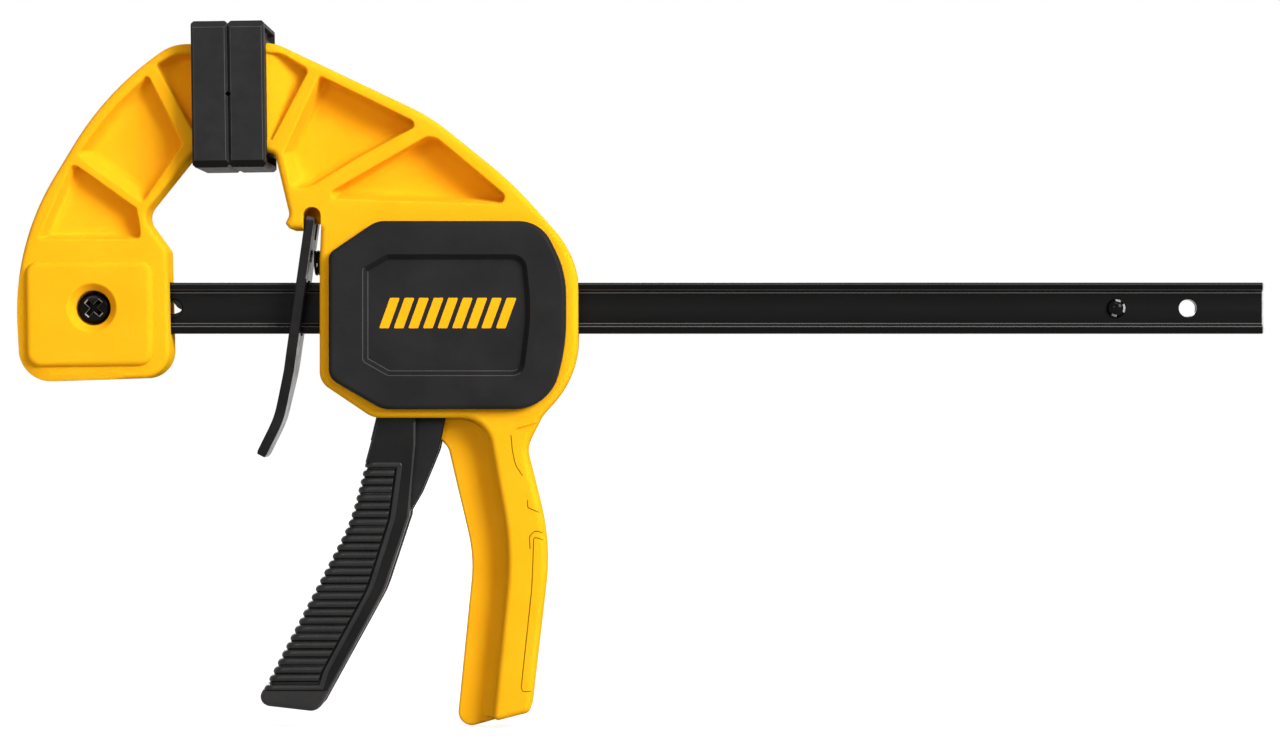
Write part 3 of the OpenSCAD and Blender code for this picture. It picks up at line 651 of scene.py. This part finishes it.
def make_housing():
    profile = pocket_profile(BODY_HALF)
    body = both_ways("housing_body", past_pad(BODY_RIM, 1), BODY_HALF, 2.0,
                     pockets(ARM_POCKETS[1:], profile, 1.3, 1.3))
    cut(body, pad_room(1))
    cut(body, *[pocket_cutter(ARM_POCKETS[0], side, profile) for side in SIDES])
    join(body, end_slope(-1), end_slope(1), tongue(6, 11.8))
    # The release lever rocks in a round-topped slot, with a bridge left across its middle.
    slot_x, slot_z, slot_r = 25.4, 28.4, 2.8
    slot_ends = (slot_x - slot_r, slot_x + slot_r)
    slot = []
    for side in SIDES:
        y0, y1 = span(side, 2, 14)
        slot.append(turned_on_y("slot", slot_x, slot_z, [(slot_r, y0), (slot_r, y1)], 48))
        slot.append(box("slot_mouth", *slot_ends, y0, y1, 24, slot_z))
    cut(body,
        slab("cavity", ring(CAVITY), -20, 20), *slot,
        box("slot_top", *slot_ends, -2.5, 2.5, 22.3, 26.3),
        box("neck_way", 43.4, 73.4, -10.5, 10.5, -36.1, -27.2),
        fin_way(-FIN_WAY_HALF, FIN_WAY_HALF),
        bar_room("bar_way", 0, 112.7, BAR_CLEAR),
        turned_on_x("spring_room", RELEASE_SPRING_Z, [(4.3, 24.7), (4.3, 31.9)], 40))
    join(body, both_ways("web", HANDLE_WEB, HANDLE_WEB_HALF, 0.8))
    # The web's fillets follow the handle's wall, and stay clear of the trigger's fin.
    top, bend, foot = BODY_RIM[10:13]
    wall = [[62, foot[1], 0], [*foot[:2], 0], bend, top, [62, top[1], 0]]
    path = [*ring(wall)[:1:-1], (foot[0] + 0.1, foot[1] + 1)]
    for side in SIDES:
        fillet = fillet_wedge(path, side, HANDLE_WEB_HALF, 4.2)
        join(body, cut(fillet, fin_way(*span(side, 4.2, FIN_WAY_HALF))))
    two_slots(body)
    for side in SIDES:
        for line in PALM_SEAMS:
            seam = slab("seam", strip_points(smooth_path(line, 0.5), SEAM_W),
                        *span(side, BODY_HALF - SEAM_DEPTH, BODY_HALF + 1))
            cut(body, mark(seam, lambda c, n: True))
        cut(body, slab("facet", ring(PALM_FACET), *span(side, BODY_HALF - FACET_DEPTH, BODY_HALF + 1)))
    return body


def fin_way(y0, y1):
    """The room that the trigger's fin needs in the handle."""
    return box("fin_way", 43.4, 81.4, y0, y1, -41.1, -27.2)


def make_cover(node, side):
    """One of the covers; the walls of its panel that face up or right get a second material, a painted
    highlight.
    """
    edges = (1.6, 0) if side < 0 else (0, 1.6)
    shell = moulded(node + "_shell", COVER_RIM, *span(side, BODY_HALF, COVER_HALF), *edges,
                    [(PANEL, side, leaning(PANEL_PROFILE, 0, 0))])
    join(shell, slab("rim", ring(moved_inwards(CAVITY, COVER_CLEAR)), *span(side, 10.5, BODY_HALF + 0.1)))
    if side > 0:
        lip = [(3.3, 18), (2.95, 17), (2.8, 16.9), (2.75, 16.7), (2.75, 14.7)]
        cut(shell, *[turned_on_y("counterbore", x, z, lip, 40) for x, z in POST_PLACES])
    return mark(shell, lambda c, n: 14.87 < abs(c[1]) < 16.97 and 0.6 < abs(n.y) < 0.85
                and 40 < c[0] < 95 and -22 < c[2] < 17.5 and n.x + n.z > 0.1)


def cross_cutter(x, z, y_top, depth, size, side, turn):
    """Two crossed tapering slots, as in a cross-recessed screw, with a painted highlight on their upper
    walls.
    """
    cutters = []
    for a in (turn, turn + math.pi / 2):
        c, s = math.cos(a), math.sin(a)
        rings = []
        for h, share in ((0.3, 1.25), (-0.22, 1.0), (-depth, 0.55)):
            rings.append([(x + l * c - w * s, y_top + side * h, z + l * s + w * c)
                          for l, w in rectangle(size / 2 * share, size / 8 * share)])
        cutter = two_slots(loft("cross", rings))
        for face in cutter.data.polygons[:4]:
            face.material_index = 1
        cutters.append(cutter)
    return cutters


def make_screw(name, x, z, seat, side, head_r, head_h, shank_r, shank_l, turn):
    pairs = [(AXIS_R, -shank_l), (shank_r, -shank_l), (shank_r, 0),
             (head_r - 0.15, 0), (head_r, 0.12), (head_r, head_h * 0.42)]
    pairs += [(head_r - head_r * 0.34 * (1 - math.cos(t)), head_h * (0.42 + 0.58 * math.sin(t)))
              for t in quarter_turn(6)[1:]]
    pairs.append((AXIS_R, head_h * 1.03))
    screw = two_slots(turned_on_y(name, x, z, [(r, seat + side * h) for r, h in pairs], 48))
    return cut(screw, *cross_cutter(x, z, seat + side * head_h, head_h * 0.66, head_r * 1.16, side, turn))


def make_pad(node, side):
    """A pad with its edges rounded and a shallow pocket above and below the jaw behind it; its large faces
    that look down and sideways get a third material, a painted shade."""
    pad = copy_of(node, 0.25)
    back = side * (PAD_T + (PAD_GAP if side > 0 else 0))
    for z0, z1 in ((PAD_RISE + 17.2, PAD_RISE + 20.8), (PAD_RISE - 20.8, PAD_RISE - 18.2)):
        x0, x1 = sorted((back - side * 2.2, back + side * 2))
        cut(pad, box("pocket", x0, x1, -15.5, 15.5, z0, z1, 0.4))
    # The chamfers that look down and sideways get painted shade.
    for face in pad.data.polygons:
        if face.normal.z < -0.3 and abs(face.normal.y) > 0.3 and face.area > 10 * MM * MM:
            face.material_index = 2
    return pad


def section_piece(name, stations):
    """A length of the bar's section, from (inset, x) pairs."""
    bm = bmesh.new()
    skin(bm, [[(x, y, z) for y, z in ring(BAR_SECTION, d)] for d, x in stations])
    return filled(name, bm, (stations[0][1], stations[-1][1]), axis=0)


def make_bar_end():
    """The bare sawn end of the bar."""
    return section_piece("bar_end", ((0.02, BAR_END - 0.5), (0.05, BAR_END - 0.45), (0.45, BAR_END)))


def make_hole_burr():
    """A rough tab left in the spare hole, which half closes it."""
    opening = [(-1.2, 2.0), (-0.3, 2.1), (1.2, 0.25), (2.5, -0.5), (1.9, -1.15), (0.1, -1.8),
               (-1.2, -1.7)]
    rim = [(2.7, -0.9), (2.79, -0.8), (2.79, 0.8), (2.7, 0.9)]
    disc = turned_on_y("hole_burr", SPARE_HOLE_X, 0, rim, 40)
    return cut(disc, slab("opening", [(SPARE_HOLE_X + x, z) for x, z in opening], -2, 2))


def make_bar():
    bar = section_piece("bar_section", ((0.3, BAR_START), (0.1, BAR_START + 0.1), (0, BAR_START + 0.3),
                                        (0, BAR_END - 0.5)))
    holes = []
    for x, r in ((SPARE_HOLE_X, SPARE_HOLE_R), (HANG_HOLE_X, HANG_HOLE_R), (JAW_SCREW_X, SCREW_BORE_R)):
        profile = [(r + 0.7, -2), (r + 0.2, -1.5), (r, -1.3), (r, 0.2), (r - 0.2, 1.4), (r - 0.2, 2)]
        holes.append(turned_on_y("hole", x, 0, profile, 48))
    return cut(bar, *holes)


def make_rivet():
    head_r, dome, seat = 3, 2.2, 1.5
    turns = quarter_turn(8)[1:]
    pairs = [(AXIS_R, -seat - dome)]
    pairs += [(head_r * math.sin(t), -seat - dome * math.cos(t)) for t in turns]
    pairs += [(head_r, -seat), (2.0, -1.45), (2.0, 1.45), (head_r, seat)]
    pairs += [(head_r * math.sin(t), seat + dome * math.cos(t)) for t in turns[-2::-1]]
    pairs.append((AXIS_R, seat + dome))

    # Spots round the dome's shoulder, at the top, the right and the lower left, get a painted glint.
    def face_marks(c, n):
        turn = math.degrees(math.atan2(c[2], c[0] - RIVET_X))
        r = math.hypot(c[2], c[0] - RIVET_X)
        return (1.9 < r < 2.7 and (abs(turn) < 27 or 62 < turn < 100)
                or 2.2 < r < 2.75 and -125 < turn < -92)
    return mark(turned_on_y("stop_rivet_head", RIVET_X, 0, pairs, 48), face_marks)


def make_coil(name, corners, wire_d, turns):
    """A compression spring along X with closed ends, that fills its CAD piece's box."""
    low, high = (corner / MM for corner in corners)
    steps, closed, wire_r = turns * 40, 0.9, wire_d / 2
    start, travel, slow = low.x + wire_r, high.x - low.x - wire_d, wire_d * 1.02 * closed
    mean_r, z = (high.z - low.z) / 2 - wire_r, (high.z + low.z) / 2 + PAD_RISE
    rings = []
    for i in range(steps + 1):
        t = turns * i / steps
        in_ends = min(t, closed) + max(0.0, t - (turns - closed))
        in_middle = max(0.0, min(1.0, (t - closed) / (turns - 2 * closed)))
        x = slow * in_ends / closed + (travel - 2 * slow) * in_middle
        a = 2 * math.pi * t
        rings.append([(start + x + wire_r * s, (mean_r + wire_r * c) * math.cos(a),
                       z + (mean_r + wire_r * c) * math.sin(a)) for c, s in circle(12)])
    return loft(name, rings)


def make_lever():
    """The bent plate of the release lever: a rounded section swept along its path."""
    half_t, half_top, half_end, tip_r = 1.55, 10.0, 7.5, 0.6
    behind = 60
    outline = [*LEVER_PATH, [behind, LEVER_END, 0], [behind, LEVER_TOP, 0]]
    path = sorted((p for p in ring(outline) if p[0] < 40), key=lambda p: -p[1])
    path = [*with_steps(path, lambda p: 0.3 if p[1] < -43 else 1.0), path[-1]]
    run = distances(path)
    rings = []
    for p, u, s in zip(path, directions(path), run):
        half_w = half_top - (half_top - half_end) * ease((-13 - p[1]) / 20)
        tip = max(0.0, tip_r - (run[-1] - s))
        half_w -= tip_r - math.sqrt(tip_r ** 2 - tip ** 2)
        section = ring([[*corner, 0.4] for corner in rectangle(half_t, half_w)],
                       0.3 if s in (0, run[-1]) else 0.0)
        rings.append([(p[0] + u[1] * d, y, p[1] - u[0] * d) for d, y in section])
    lever = cut(loft("release_lever_plate", rings),
                bar_room("window", 5, 40, WINDOW_CLEAR),
                box("notch", 10, 40, -3.2, 3.2, 21.3, 35))
    # The rounded edges of its upper part that face right get a painted highlight.
    return mark(lever, lambda c, n: abs(c[1]) > 7 and c[2] > 9 and
                0.3 < abs(n.y) < 0.97 and n.x > 0)


def make_trigger():
    """The trigger's body. Its rounded edges, its toe and its fin's sides get materials of their own."""
    grip = both_ways("trigger_body", GRIP_EDGE, TRIGGER_HALF, 1.0)
    cut(grip, slab("under_skin", ring(UNDER_SKIN), -12, 12))
    join(grip, slab("core", ring(moved_inwards(GRIP_EDGE, 1.7)), -9.3, 9.3))
    toe_zone = box("toe_zone", 0, 40, -12, 12, -140, SKIN_BOTTOM - 0.1)
    join(grip,
         both_ways("neck", NECK_EDGE, NECK_HALF, 0.6),
         both_ways("fin", FIN_EDGE, FIN_HALF, 0.6),
         turned_on_y("hub", *PIN, [(4.9, -NECK_HALF), (5.2, -9.9), (5.2, 9.9), (4.9, NECK_HALF)], 48),
         turned_on_y("nose", 65.2, -4.0, [(2.8, -NECK_HALF), (2.8, NECK_HALF)], 32),
         combine(both_ways("toe", GRIP_EDGE, SKIN_HALF, 1.3), [toe_zone], "INTERSECT"))
    cut(grip, slab("channel", ring(CHANNEL), -CHANNEL_HALF, CHANNEL_HALF),
        turned_on_y("pin_hole", *PIN, [(3.05, -20), (3.05, 20)], 32))
    # The faces halfway round the rounded side edges get a painted highlight.
    mark(grip, lambda c, n: abs(c[1]) > 9.4 and 0.55 < abs(n.y) < 0.86 and c[2] < GRIP_TOP - 1)
    mark(grip, lambda c, n: abs(n.y) > 0.9 and abs(abs(c[1]) - FIN_HALF) < 0.2, 3)
    return mark(grip, lambda c, n: abs(n.y) > 0.9 and c[2] < SKIN_BOTTOM, 2)


def crossings(points, z):
    """Where an outline crosses the height z, from left to right."""
    return sorted(p[0] + (q[0] - p[0]) * (z - p[1]) / (q[1] - p[1])
                  for p, q in sides_of(points) if (p[1] - z) * (q[1] - z) < 0)


def make_grip():
    """The ribbed soft skin: rows down the grip, each wrapped round its front."""
    front, back = ring(GRIP_EDGE), ring(SKIN_BORDER)
    pitch = (RIB_TOP - RIB_BOTTOM) / RIB_COUNT
    corner, depth, bead, valley, thickness = 3.2, 1.15, 1.8, 1.1, 1.6
    near = [0, 0.1, 0.25, 0.5, 0.9, 1.3, 1.55, 1.7, 1.8, 1.95, 2.1, 2.25, 2.45, 2.7, 3.1]
    away = 99.0
    rows = RIB_COUNT * 14 + 20
    bm = bmesh.new()
    last = last_in = None
    for row in range(rows + 1):
        z = SKIN_TOP + (SKIN_BOTTOM - SKIN_TOP) * row / rows
        x_front, x_back = crossings(front, z)[0], crossings(back, z)[-1]
        phase = (RIB_TOP - z) / pitch
        part = 1 - 2 * abs(phase % 1 - 0.5)
        groove = 1 - math.sqrt(max(0.0, 1 - part * part)) if 0 <= phase <= RIB_COUNT else 0.0
        # From the back edge to the middle of the front: a point, its normal, and how far it is
        # from the bead along the back edge.
        side_run = x_back - x_front - corner
        runs = near + [near[-1] + (side_run - near[-1]) * k / 6 for k in range(1, 7)]
        stations = [(x_back - s, SKIN_HALF, 0.0, 1.0, s) for s in runs]
        stations += [(x_front + corner * (1 - math.sin(t)), SKIN_HALF - corner * (1 - math.cos(t)),
                      -math.sin(t), math.cos(t), away) for t in quarter_turn(8)[1:]]
        stations += [(x_front, (SKIN_HALF - corner) * (1 - k / 4), -1.0, 0.0, away) for k in range(1, 5)]
        here, inner = [], []
        mirrored = [(x, -y, nx, -ny, s) for x, y, nx, ny, s in stations[-2::-1]]
        for x, y, nx, ny, s in stations + mirrored:
            edge = min(s, SKIN_TOP - z, z - SKIN_BOTTOM)
            over = (edge - bead / 2) / (bead / 2)
            if over < 1:
                drop = 0.4 * (1 - math.sqrt(max(0.0, 1 - over * over)))
            else:
                drop = max(depth * groove, valley * math.exp(-((edge - bead - 0.25) / 0.3) ** 2))
            here.append(bm.verts.new(place(x - nx * drop, y - ny * drop, z)))
            inner.append(bm.verts.new(place(x - nx * thickness, y - ny * thickness, z)))
        if last:
            band(bm, last, here, closed=False)
            band(bm, inner, last_in, closed=False)
            for i in (0, len(here) - 1):
                bm.faces.new((last[i], here[i], inner[i], last_in[i]))
        else:
            band(bm, here, inner, closed=False)
        last, last_in = here, inner
    band(bm, last, last_in, closed=False)
    return new_object("trigger_grip_skin", bm)


def make_emblem():
    """A plain row of slanted strokes, printed in the cover's panel."""
    count, z0, z1, slant, width, x0, x1 = 9, -6.4, 3.0, 3.4, 3.0, 46.4, 88.8
    pitch = (x1 - x0 - width - slant) / (count - 1)
    strokes = []
    for x in [x0 + k * pitch for k in range(count)]:
        outline = [[x, z0, 0.35], [x + width, z0, 0.35], [x + width + slant, z1, 0.35],
                   [x + slant, z1, 0.35]]
        strokes.append(slab("stroke", ring(outline), -14.9, -14.75))
    return merged("cover_stripes", strokes)


# ---- materials
def node(tree, kind, values=None, fed=None):
    """A new shader node, with its inputs set to values or fed by outputs."""
    made = tree.nodes.new("ShaderNode" + kind)
    for key, value in (values or {}).items():
        made.inputs[key].default_value = value
    for key, source in (fed or {}).items():
        tree.links.new(source, made.inputs[key])
    return made


def grey(value):
    return (value, value, value)


def noise(tree, size_mm, detail, rough=0.5, stretch=None):
    """Noise whose blobs are about size_mm across; stretch lengthens them along an axis."""
    where = node(tree, "TexCoord").outputs["Object"]
    if stretch:
        mapping = node(tree, "Mapping", {"Scale": [1 / s for s in stretch]}, {"Vector": where})
        where = mapping.outputs["Vector"]
    return node(tree, "TexNoise", {"Scale": 1000 / size_mm, "Detail": detail, "Roughness": rough},
                {"Vector": where}).outputs["Fac"]


def spread(tree, value, low, high, from_low=0.35, from_high=0.65):
    """A value between low and high, for a value between from_low and from_high."""
    limits = {"From Min": from_low, "From Max": from_high, "To Min": low, "To Max": high}
    return node(tree, "MapRange", limits, {"Value": value}).outputs["Result"]


def clouded(dark, light, *cloud):
    """A colour between two, by noise."""
    def colour(tree):
        ramp = node(tree, "ValToRGB", fed={"Fac": noise(tree, *cloud)})
        for stop, position, value in zip(ramp.color_ramp.elements, (0.32, 0.68), (dark, light)):
            stop.position = position
            stop.color = (*value, 1)
        return ramp.outputs["Color"]
    return colour


def bar_painted_highlights(tree):
    """The bar's black paint, with painted highlight lines along the section's edges, and paler on its web.
    """
    axis, half_h = -PAD_RISE * MM, BAR_HALF_H * MM
    split = node(tree, "SeparateXYZ", fed={0: node(tree, "TexCoord").outputs["Object"]})
    height = spread(tree, split.outputs["Z"], 0, 1, axis - half_h, axis + half_h)
    ramp = node(tree, "ValToRGB", fed={"Fac": height})
    stops = [(-8, 0.01), (-7.85, 0.02), (-7.7, 0.0025), (-5.9, 0.0025), (-5.8, 0.1), (-5.55, 0.1),
             (-5.5, 0.002), (-5.0, 0.002), (-4.9, 0.08), (-4.65, 0.08), (-4.6, 0.0035), (0, 0.0062),
             (4.6, 0.003), (4.7, 0.075), (5.0, 0.075), (5.1, 0.002), (5.4, 0.002), (5.5, 0.065),
             (5.75, 0.065), (5.85, 0.0015), (7.2, 0.0015), (7.35, 0.035), (7.6, 0.035), (7.75, 0.008),
             (8, 0.01)]
    for i, (z, value) in enumerate(stops):
        position = (z + BAR_HALF_H) / (2 * BAR_HALF_H)
        stop = ramp.color_ramp.elements[i] if i < 2 else ramp.color_ramp.elements.new(position)
        stop.position = position
        stop.color = (*grey(value), 1)
    return ramp.outputs["Color"]


def textured(name, colour, plain, rough, patches, grains, values):
    """A Principled material. colour makes its colour's output, over the colour plain; patches is
    the noise of its roughness, grains are its bumps' (noise, depth in mm, strength)."""
    mat = bpy.data.materials.new(name)
    mat.use_nodes = True
    tree = mat.node_tree
    bsdf = tree.nodes["Principled BSDF"]
    for key, value in {"Base Color": (*plain, 1), **values}.items():
        bsdf.inputs[key].default_value = value
    tree.links.new(colour(tree), bsdf.inputs["Base Color"])
    tree.links.new(spread(tree, noise(tree, *patches), *rough), bsdf.inputs["Roughness"])
    normal = {}
    for grain, depth_mm, strength in grains:
        bump = node(tree, "Bump", {"Distance": depth_mm * MM, "Strength": strength},
                    {"Height": noise(tree, *grain), **normal})
        normal = {"Normal": bump.outputs["Normal"]}
    tree.links.new(normal["Normal"], bsdf.inputs["Normal"])
    return mat


def plastic(name, dark, light, rough, grain_mm, grain_depth, specular, glow=0.0):
    return textured(name, clouded(dark, light, 14, 3), light, rough, (3, 3),
                    [((9, 1), 0.03, 0.3), ((grain_mm, 2, 0.6), grain_depth, 0.8)],
                    {"Roughness": 0.5, "Specular IOR Level": specular, "Subsurface Weight": glow,
                     "Subsurface Radius": (1.0, 0.3, 0.05), "Subsurface Scale": 0.003})


def rubber(name, dark, light, rough, specular):
    return textured(name, clouded(dark, light, 6, 4, 0.6), light, rough, (2.2, 3),
                    [((0.35, 2), 0.012, 0.6)], {"Roughness": 0.6, "Specular IOR Level": specular})


def painted(name, colour, plain, rough, specular):
    return textured(name, colour, plain, rough, (4, 4, 0.5, (6, 1, 1)), [((1.2, 2), 0.006, 0.5)],
                    {"Roughness": 0.3, "Specular IOR Level": specular})


def gloss(name, dark, light, rough, specular):
    return painted(name, clouded(dark, light, 5, 4), dark, rough, specular)


def metal(name, dark, light, rough, stretch=(1, 8, 1)):
    return textured(name, clouded(dark, light, 2.5, 4), light, rough, (0.5, 3, 0.5, stretch),
                    [((0.25, 2, 0.5, stretch), 0.004, 0.5)], {"Roughness": 0.35, "Metallic": 1.0})


# The roughness of nylon, and the width and depth of its grain in mm.
SATIN, SATIN_EDGE = ((0.27, 0.38), 0.3, 0.05), ((0.3, 0.4), 0.3, 0.02)

YELLOW = plastic("yellow_nylon", (0.87, 0.43, 0.009), (0.9, 0.455, 0.012), (0.42, 0.52), 0.35, 0.012,
                 0.0, 0.4)
SEAM = plastic("yellow_seam", (0.44, 0.18, 0.004), (0.52, 0.21, 0.006), (0.5, 0.6), 0.35, 0.012, 0.0)
PRINT = plastic("printed_yellow", (0.86, 0.38, 0.002), (0.9, 0.41, 0.003), (0.4, 0.5), 0.3, 0.004, 0.1)
BLACK = plastic("black_nylon", (0.016, 0.016, 0.0162), (0.021, 0.021, 0.0212), *SATIN, 0.02)
# Painted highlight on the covers' panel walls that face the light.
BLACK_HIGHLIGHT = plastic("black_painted_highlight", grey(0.06), grey(0.09), *SATIN_EDGE, 0.1)
TRIGGER = plastic("trigger_nylon", (0.01, 0.01, 0.0101), (0.014, 0.014, 0.0141), *SATIN, 0.02)
# Painted highlight on the trigger's rounded edges.
TRIGGER_HIGHLIGHT = plastic("trigger_painted_highlight", grey(0.03), grey(0.046), *SATIN_EDGE, 0.05)
TOE = plastic("trigger_toe", grey(0.022), grey(0.03), *SATIN, 0.04)
PAD = rubber("pad_rubber", (0.017, 0.017, 0.0172), (0.022, 0.022, 0.0222), (0.5, 0.6), 0.05)
# Painted highlight on the pads' rounded edges.
PAD_HIGHLIGHT = rubber("pad_painted_highlight", grey(0.045), grey(0.065), (0.3, 0.4), 0.1)
# Painted shade on the pads' lower chamfers.
PAD_SHADE = rubber("pad_shade", grey(0.008), grey(0.011), (0.3, 0.4), 0.02)
GRIP = rubber("grip_rubber", grey(0.0085), grey(0.0135), (0.26, 0.38), 0.2)
# The bar, with painted highlight lines along its section's edges.
BAR = painted("bar_steel", bar_painted_highlights, grey(0.003), (0.16, 0.26), 0.06)
GLOSS = gloss("gloss_black", grey(0.002), grey(0.003), (0.06, 0.12), 0.06)
# Painted glint on the rivet's dome and the screw head's cross.
PAINTED_GLINT = gloss("painted_glint", grey(0.18), grey(0.45), (0.2, 0.3), 0.2)
# Painted highlight on the lever's edges.
LEVER_HIGHLIGHT = gloss("painted_edge_highlight", grey(0.05), grey(0.2), (0.2, 0.3), 0.1)
DARK_STEEL = gloss("black_steel", grey(0.004), (0.008, 0.008, 0.0082), (0.24, 0.36), 0.1)
ZINC = metal("zinc_steel", (0.5, 0.5, 0.51), (0.66, 0.66, 0.67), (0.24, 0.42))
WIRE = metal("spring_steel", (0.05, 0.05, 0.055), (0.1, 0.1, 0.11), (0.3, 0.45), (1, 1, 1))


# ---- the object
def dress(piece, body, mat, slot_name, *nodes, edges=()):
    """Finishes a piece and puts it on its body. edges are its further materials."""
    finish_mesh(piece)
    face_marks = [p.material_index for p in piece.data.polygons]
    piece.data.materials.clear()
    for material in (mat, *edges):
        piece.data.materials.append(material)
    if edges:
        piece.data.polygons.foreach_set("material_index", face_marks)
    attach(piece, body)
    if nodes:
        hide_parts(*nodes)


dress(make_fixed_jaw(), "bar_assembly", YELLOW, "yellow_nylon", "fixed_jaw")
dress(make_pad("fixed_pad", -1), "bar_assembly", PAD, "pad_rubber", "fixed_pad", edges=(PAD_HIGHLIGHT, PAD_SHADE))
dress(make_bar(), "bar_assembly", BAR, "bar_steel", "bar")
dress(make_bar_end(), "bar_assembly", ZINC, "zinc_steel")
dress(make_hole_burr(), "bar_assembly", DARK_STEEL, "black_steel")
dress(make_rivet(), "bar_assembly", GLOSS, "black_steel", "stop_rivet", edges=(PAINTED_GLINT,))
dress(make_screw("jaw_screw_head", JAW_SCREW_X, 0, -JAW_SEAT, -1, 5.1, 2.4, 2.5, 10.5, math.radians(48)),
      "bar_assembly", GLOSS, "black_steel", "jaw_screw", edges=(PAINTED_GLINT,))
dress(make_housing(), "moving_jaw", YELLOW, "yellow_nylon", "housing", edges=(SEAM,))
for cover, side in (("front_cover", -1), ("back_cover", 1)):
    dress(make_cover(cover, side), "moving_jaw", BLACK, "black_nylon", cover, edges=(BLACK_HIGHLIGHT,))
dress(make_emblem(), "moving_jaw", PRINT, "yellow_nylon")
dress(make_pad("moving_pad", 1), "moving_jaw", PAD, "pad_rubber", "moving_pad", edges=(PAD_HIGHLIGHT, PAD_SHADE))
dress(merged("cover_screw_set", [
    make_screw("one_screw", x, z, 14.7, 1, 2.6, 1.7, 1.4, 4, math.radians(25 + 31 * k))
    for k, (x, z) in enumerate(POST_PLACES)]), "moving_jaw", ZINC, "zinc_steel", "cover_screws")
dress(make_coil("drive_spring_wire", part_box("drive_spring"), 1.8, 6), "moving_jaw", WIRE, "spring_steel",
      "drive_spring")
dress(make_coil("release_spring_wire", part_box("release_spring"), 0.9, 6), "moving_jaw", DARK_STEEL,
      "spring_steel", "release_spring")
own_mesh(bpy.data.objects["drive_spring_wire"])
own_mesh(bpy.data.objects["release_spring_wire"])
dress(make_trigger(), "trigger", TRIGGER, "black_nylon", "trigger", edges=(TRIGGER_HIGHLIGHT, TOE, BLACK))
dress(make_grip(), "trigger", GRIP, "grip_rubber", "trigger_grip")
dress(make_lever(), "release_lever", DARK_STEEL, "black_steel", "release_lever", edges=(LEVER_HIGHLIGHT,))
for name in ("jaw_nut", "trigger_pin", "drive_plate_1", "drive_plate_2", "drive_plate_3"):
    cad_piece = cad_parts[name]
    cad_piece.data.materials.clear()
    cad_piece.data.materials.append(ZINC)


# ---- floor, light and camera
def seen_directly(tree):
    """1 on the rays of the camera, of reflections and of transmission, and 0 on those of light."""
    path = node(tree, "LightPath")
    seen = path.outputs["Is Camera Ray"]
    for ray in ("Is Glossy Ray", "Is Transmission Ray"):
        either = node(tree, "Math", fed={0: seen, 1: path.outputs[ray]})
        either.operation = "MAXIMUM"
        seen = either.outputs[0]
    return seen


def backdrop(name, color):
    """White to the camera and in reflections, pale to the light, with the object's shadow."""
    mat = bpy.data.materials.new(name)
    mat.use_nodes = True
    tree = mat.node_tree
    tree.nodes.clear()
    pale = node(tree, "BsdfDiffuse", {"Color": color}).outputs[0]
    away = node(tree, "VectorMath", fed={0: node(tree, "TexCoord").outputs["Object"]})
    away.operation = "LENGTH"
    strength = spread(tree, away.outputs["Value"], 0.8, 1.0, 0.5, 1.6)
    glow = node(tree, "Emission", fed={"Strength": strength})
    both = node(tree, "AddShader", fed={0: pale, 1: glow.outputs[0]})
    mix = node(tree, "MixShader", fed={0: seen_directly(tree), 1: pale, 2: both.outputs[0]})
    node(tree, "OutputMaterial", fed={"Surface": mix.outputs[0]})
    return mat


FLOOR_GAP, FLOOR_HALF = 0.0004, 6
floor_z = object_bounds()[0][2] - FLOOR_GAP
bm = bmesh.new()
bm.faces.new([bm.verts.new((x, y, floor_z)) for x, y in rectangle(FLOOR_HALF, FLOOR_HALF)])
floor = new_object("floor", bm)
floor.data.materials.append(backdrop("pale_floor", (*grey(0.35), 1)))

world = bpy.data.worlds.new("studio")
bpy.context.scene.world = world
world.use_nodes = True
sky = world.node_tree
sky.nodes.clear()
white = node(sky, "Background", {"Color": (1, 1, 1, 1), "Strength": 1.0}).outputs[0]
soft = node(sky, "Background", {"Color": (1, 0.7, 0.6, 1), "Strength": 0.25}).outputs[0]
mix = node(sky, "MixShader", fed={0: seen_directly(sky), 1: soft, 2: white})
node(sky, "OutputWorld", fed={"Surface": mix.outputs[0]})


CENTRE = Vector((0.06, 0.0, -0.07))


def softbox(name, at, size, watts):
    """A rectangular lamp that is turned towards the object's middle."""
    data = bpy.data.lights.new(name, "AREA")
    data.shape = "RECTANGLE"
    data.size, data.size_y = size
    data.energy = watts
    lamp = linked(name, data)
    lamp.location = at
    lamp.rotation_euler = (CENTRE - Vector(at)).to_track_quat("-Z", "Y").to_euler()


softbox("key", (1.4, -1.45, 0.72), (0.9, 0.9), 57)
softbox("strip", (0.45, -1.3, 1.45), (1.3, 0.3), 8)
softbox("fill", (-0.5, -2.1, 0.45), (0.6, 0.6), 9)
softbox("back", (-0.3, 1.7, 0.9), (1.2, 1.2), 34)

# The photograph's view: the camera is level and CAMERA_AWAY from the bar, and its picture
# shows PICTURE_W of the bar's length.
CAMERA_AWAY, PICTURE_W = 1.17, 0.4
camera_data = bpy.data.cameras.new("camera")
camera_data.sensor_width = 36
camera_data.lens = camera_data.sensor_width * CAMERA_AWAY / PICTURE_W
camera_data.clip_start = 0.05
camera_data.clip_end = 20
camera = linked("camera", camera_data)
camera.location = (0.1269, -CAMERA_AWAY, -0.08508)
camera.rotation_euler = (math.pi / 2, 0, 0)
bpy.context.scene.camera = camera
bpy.context.scene.view_settings.view_transform = "Standard"
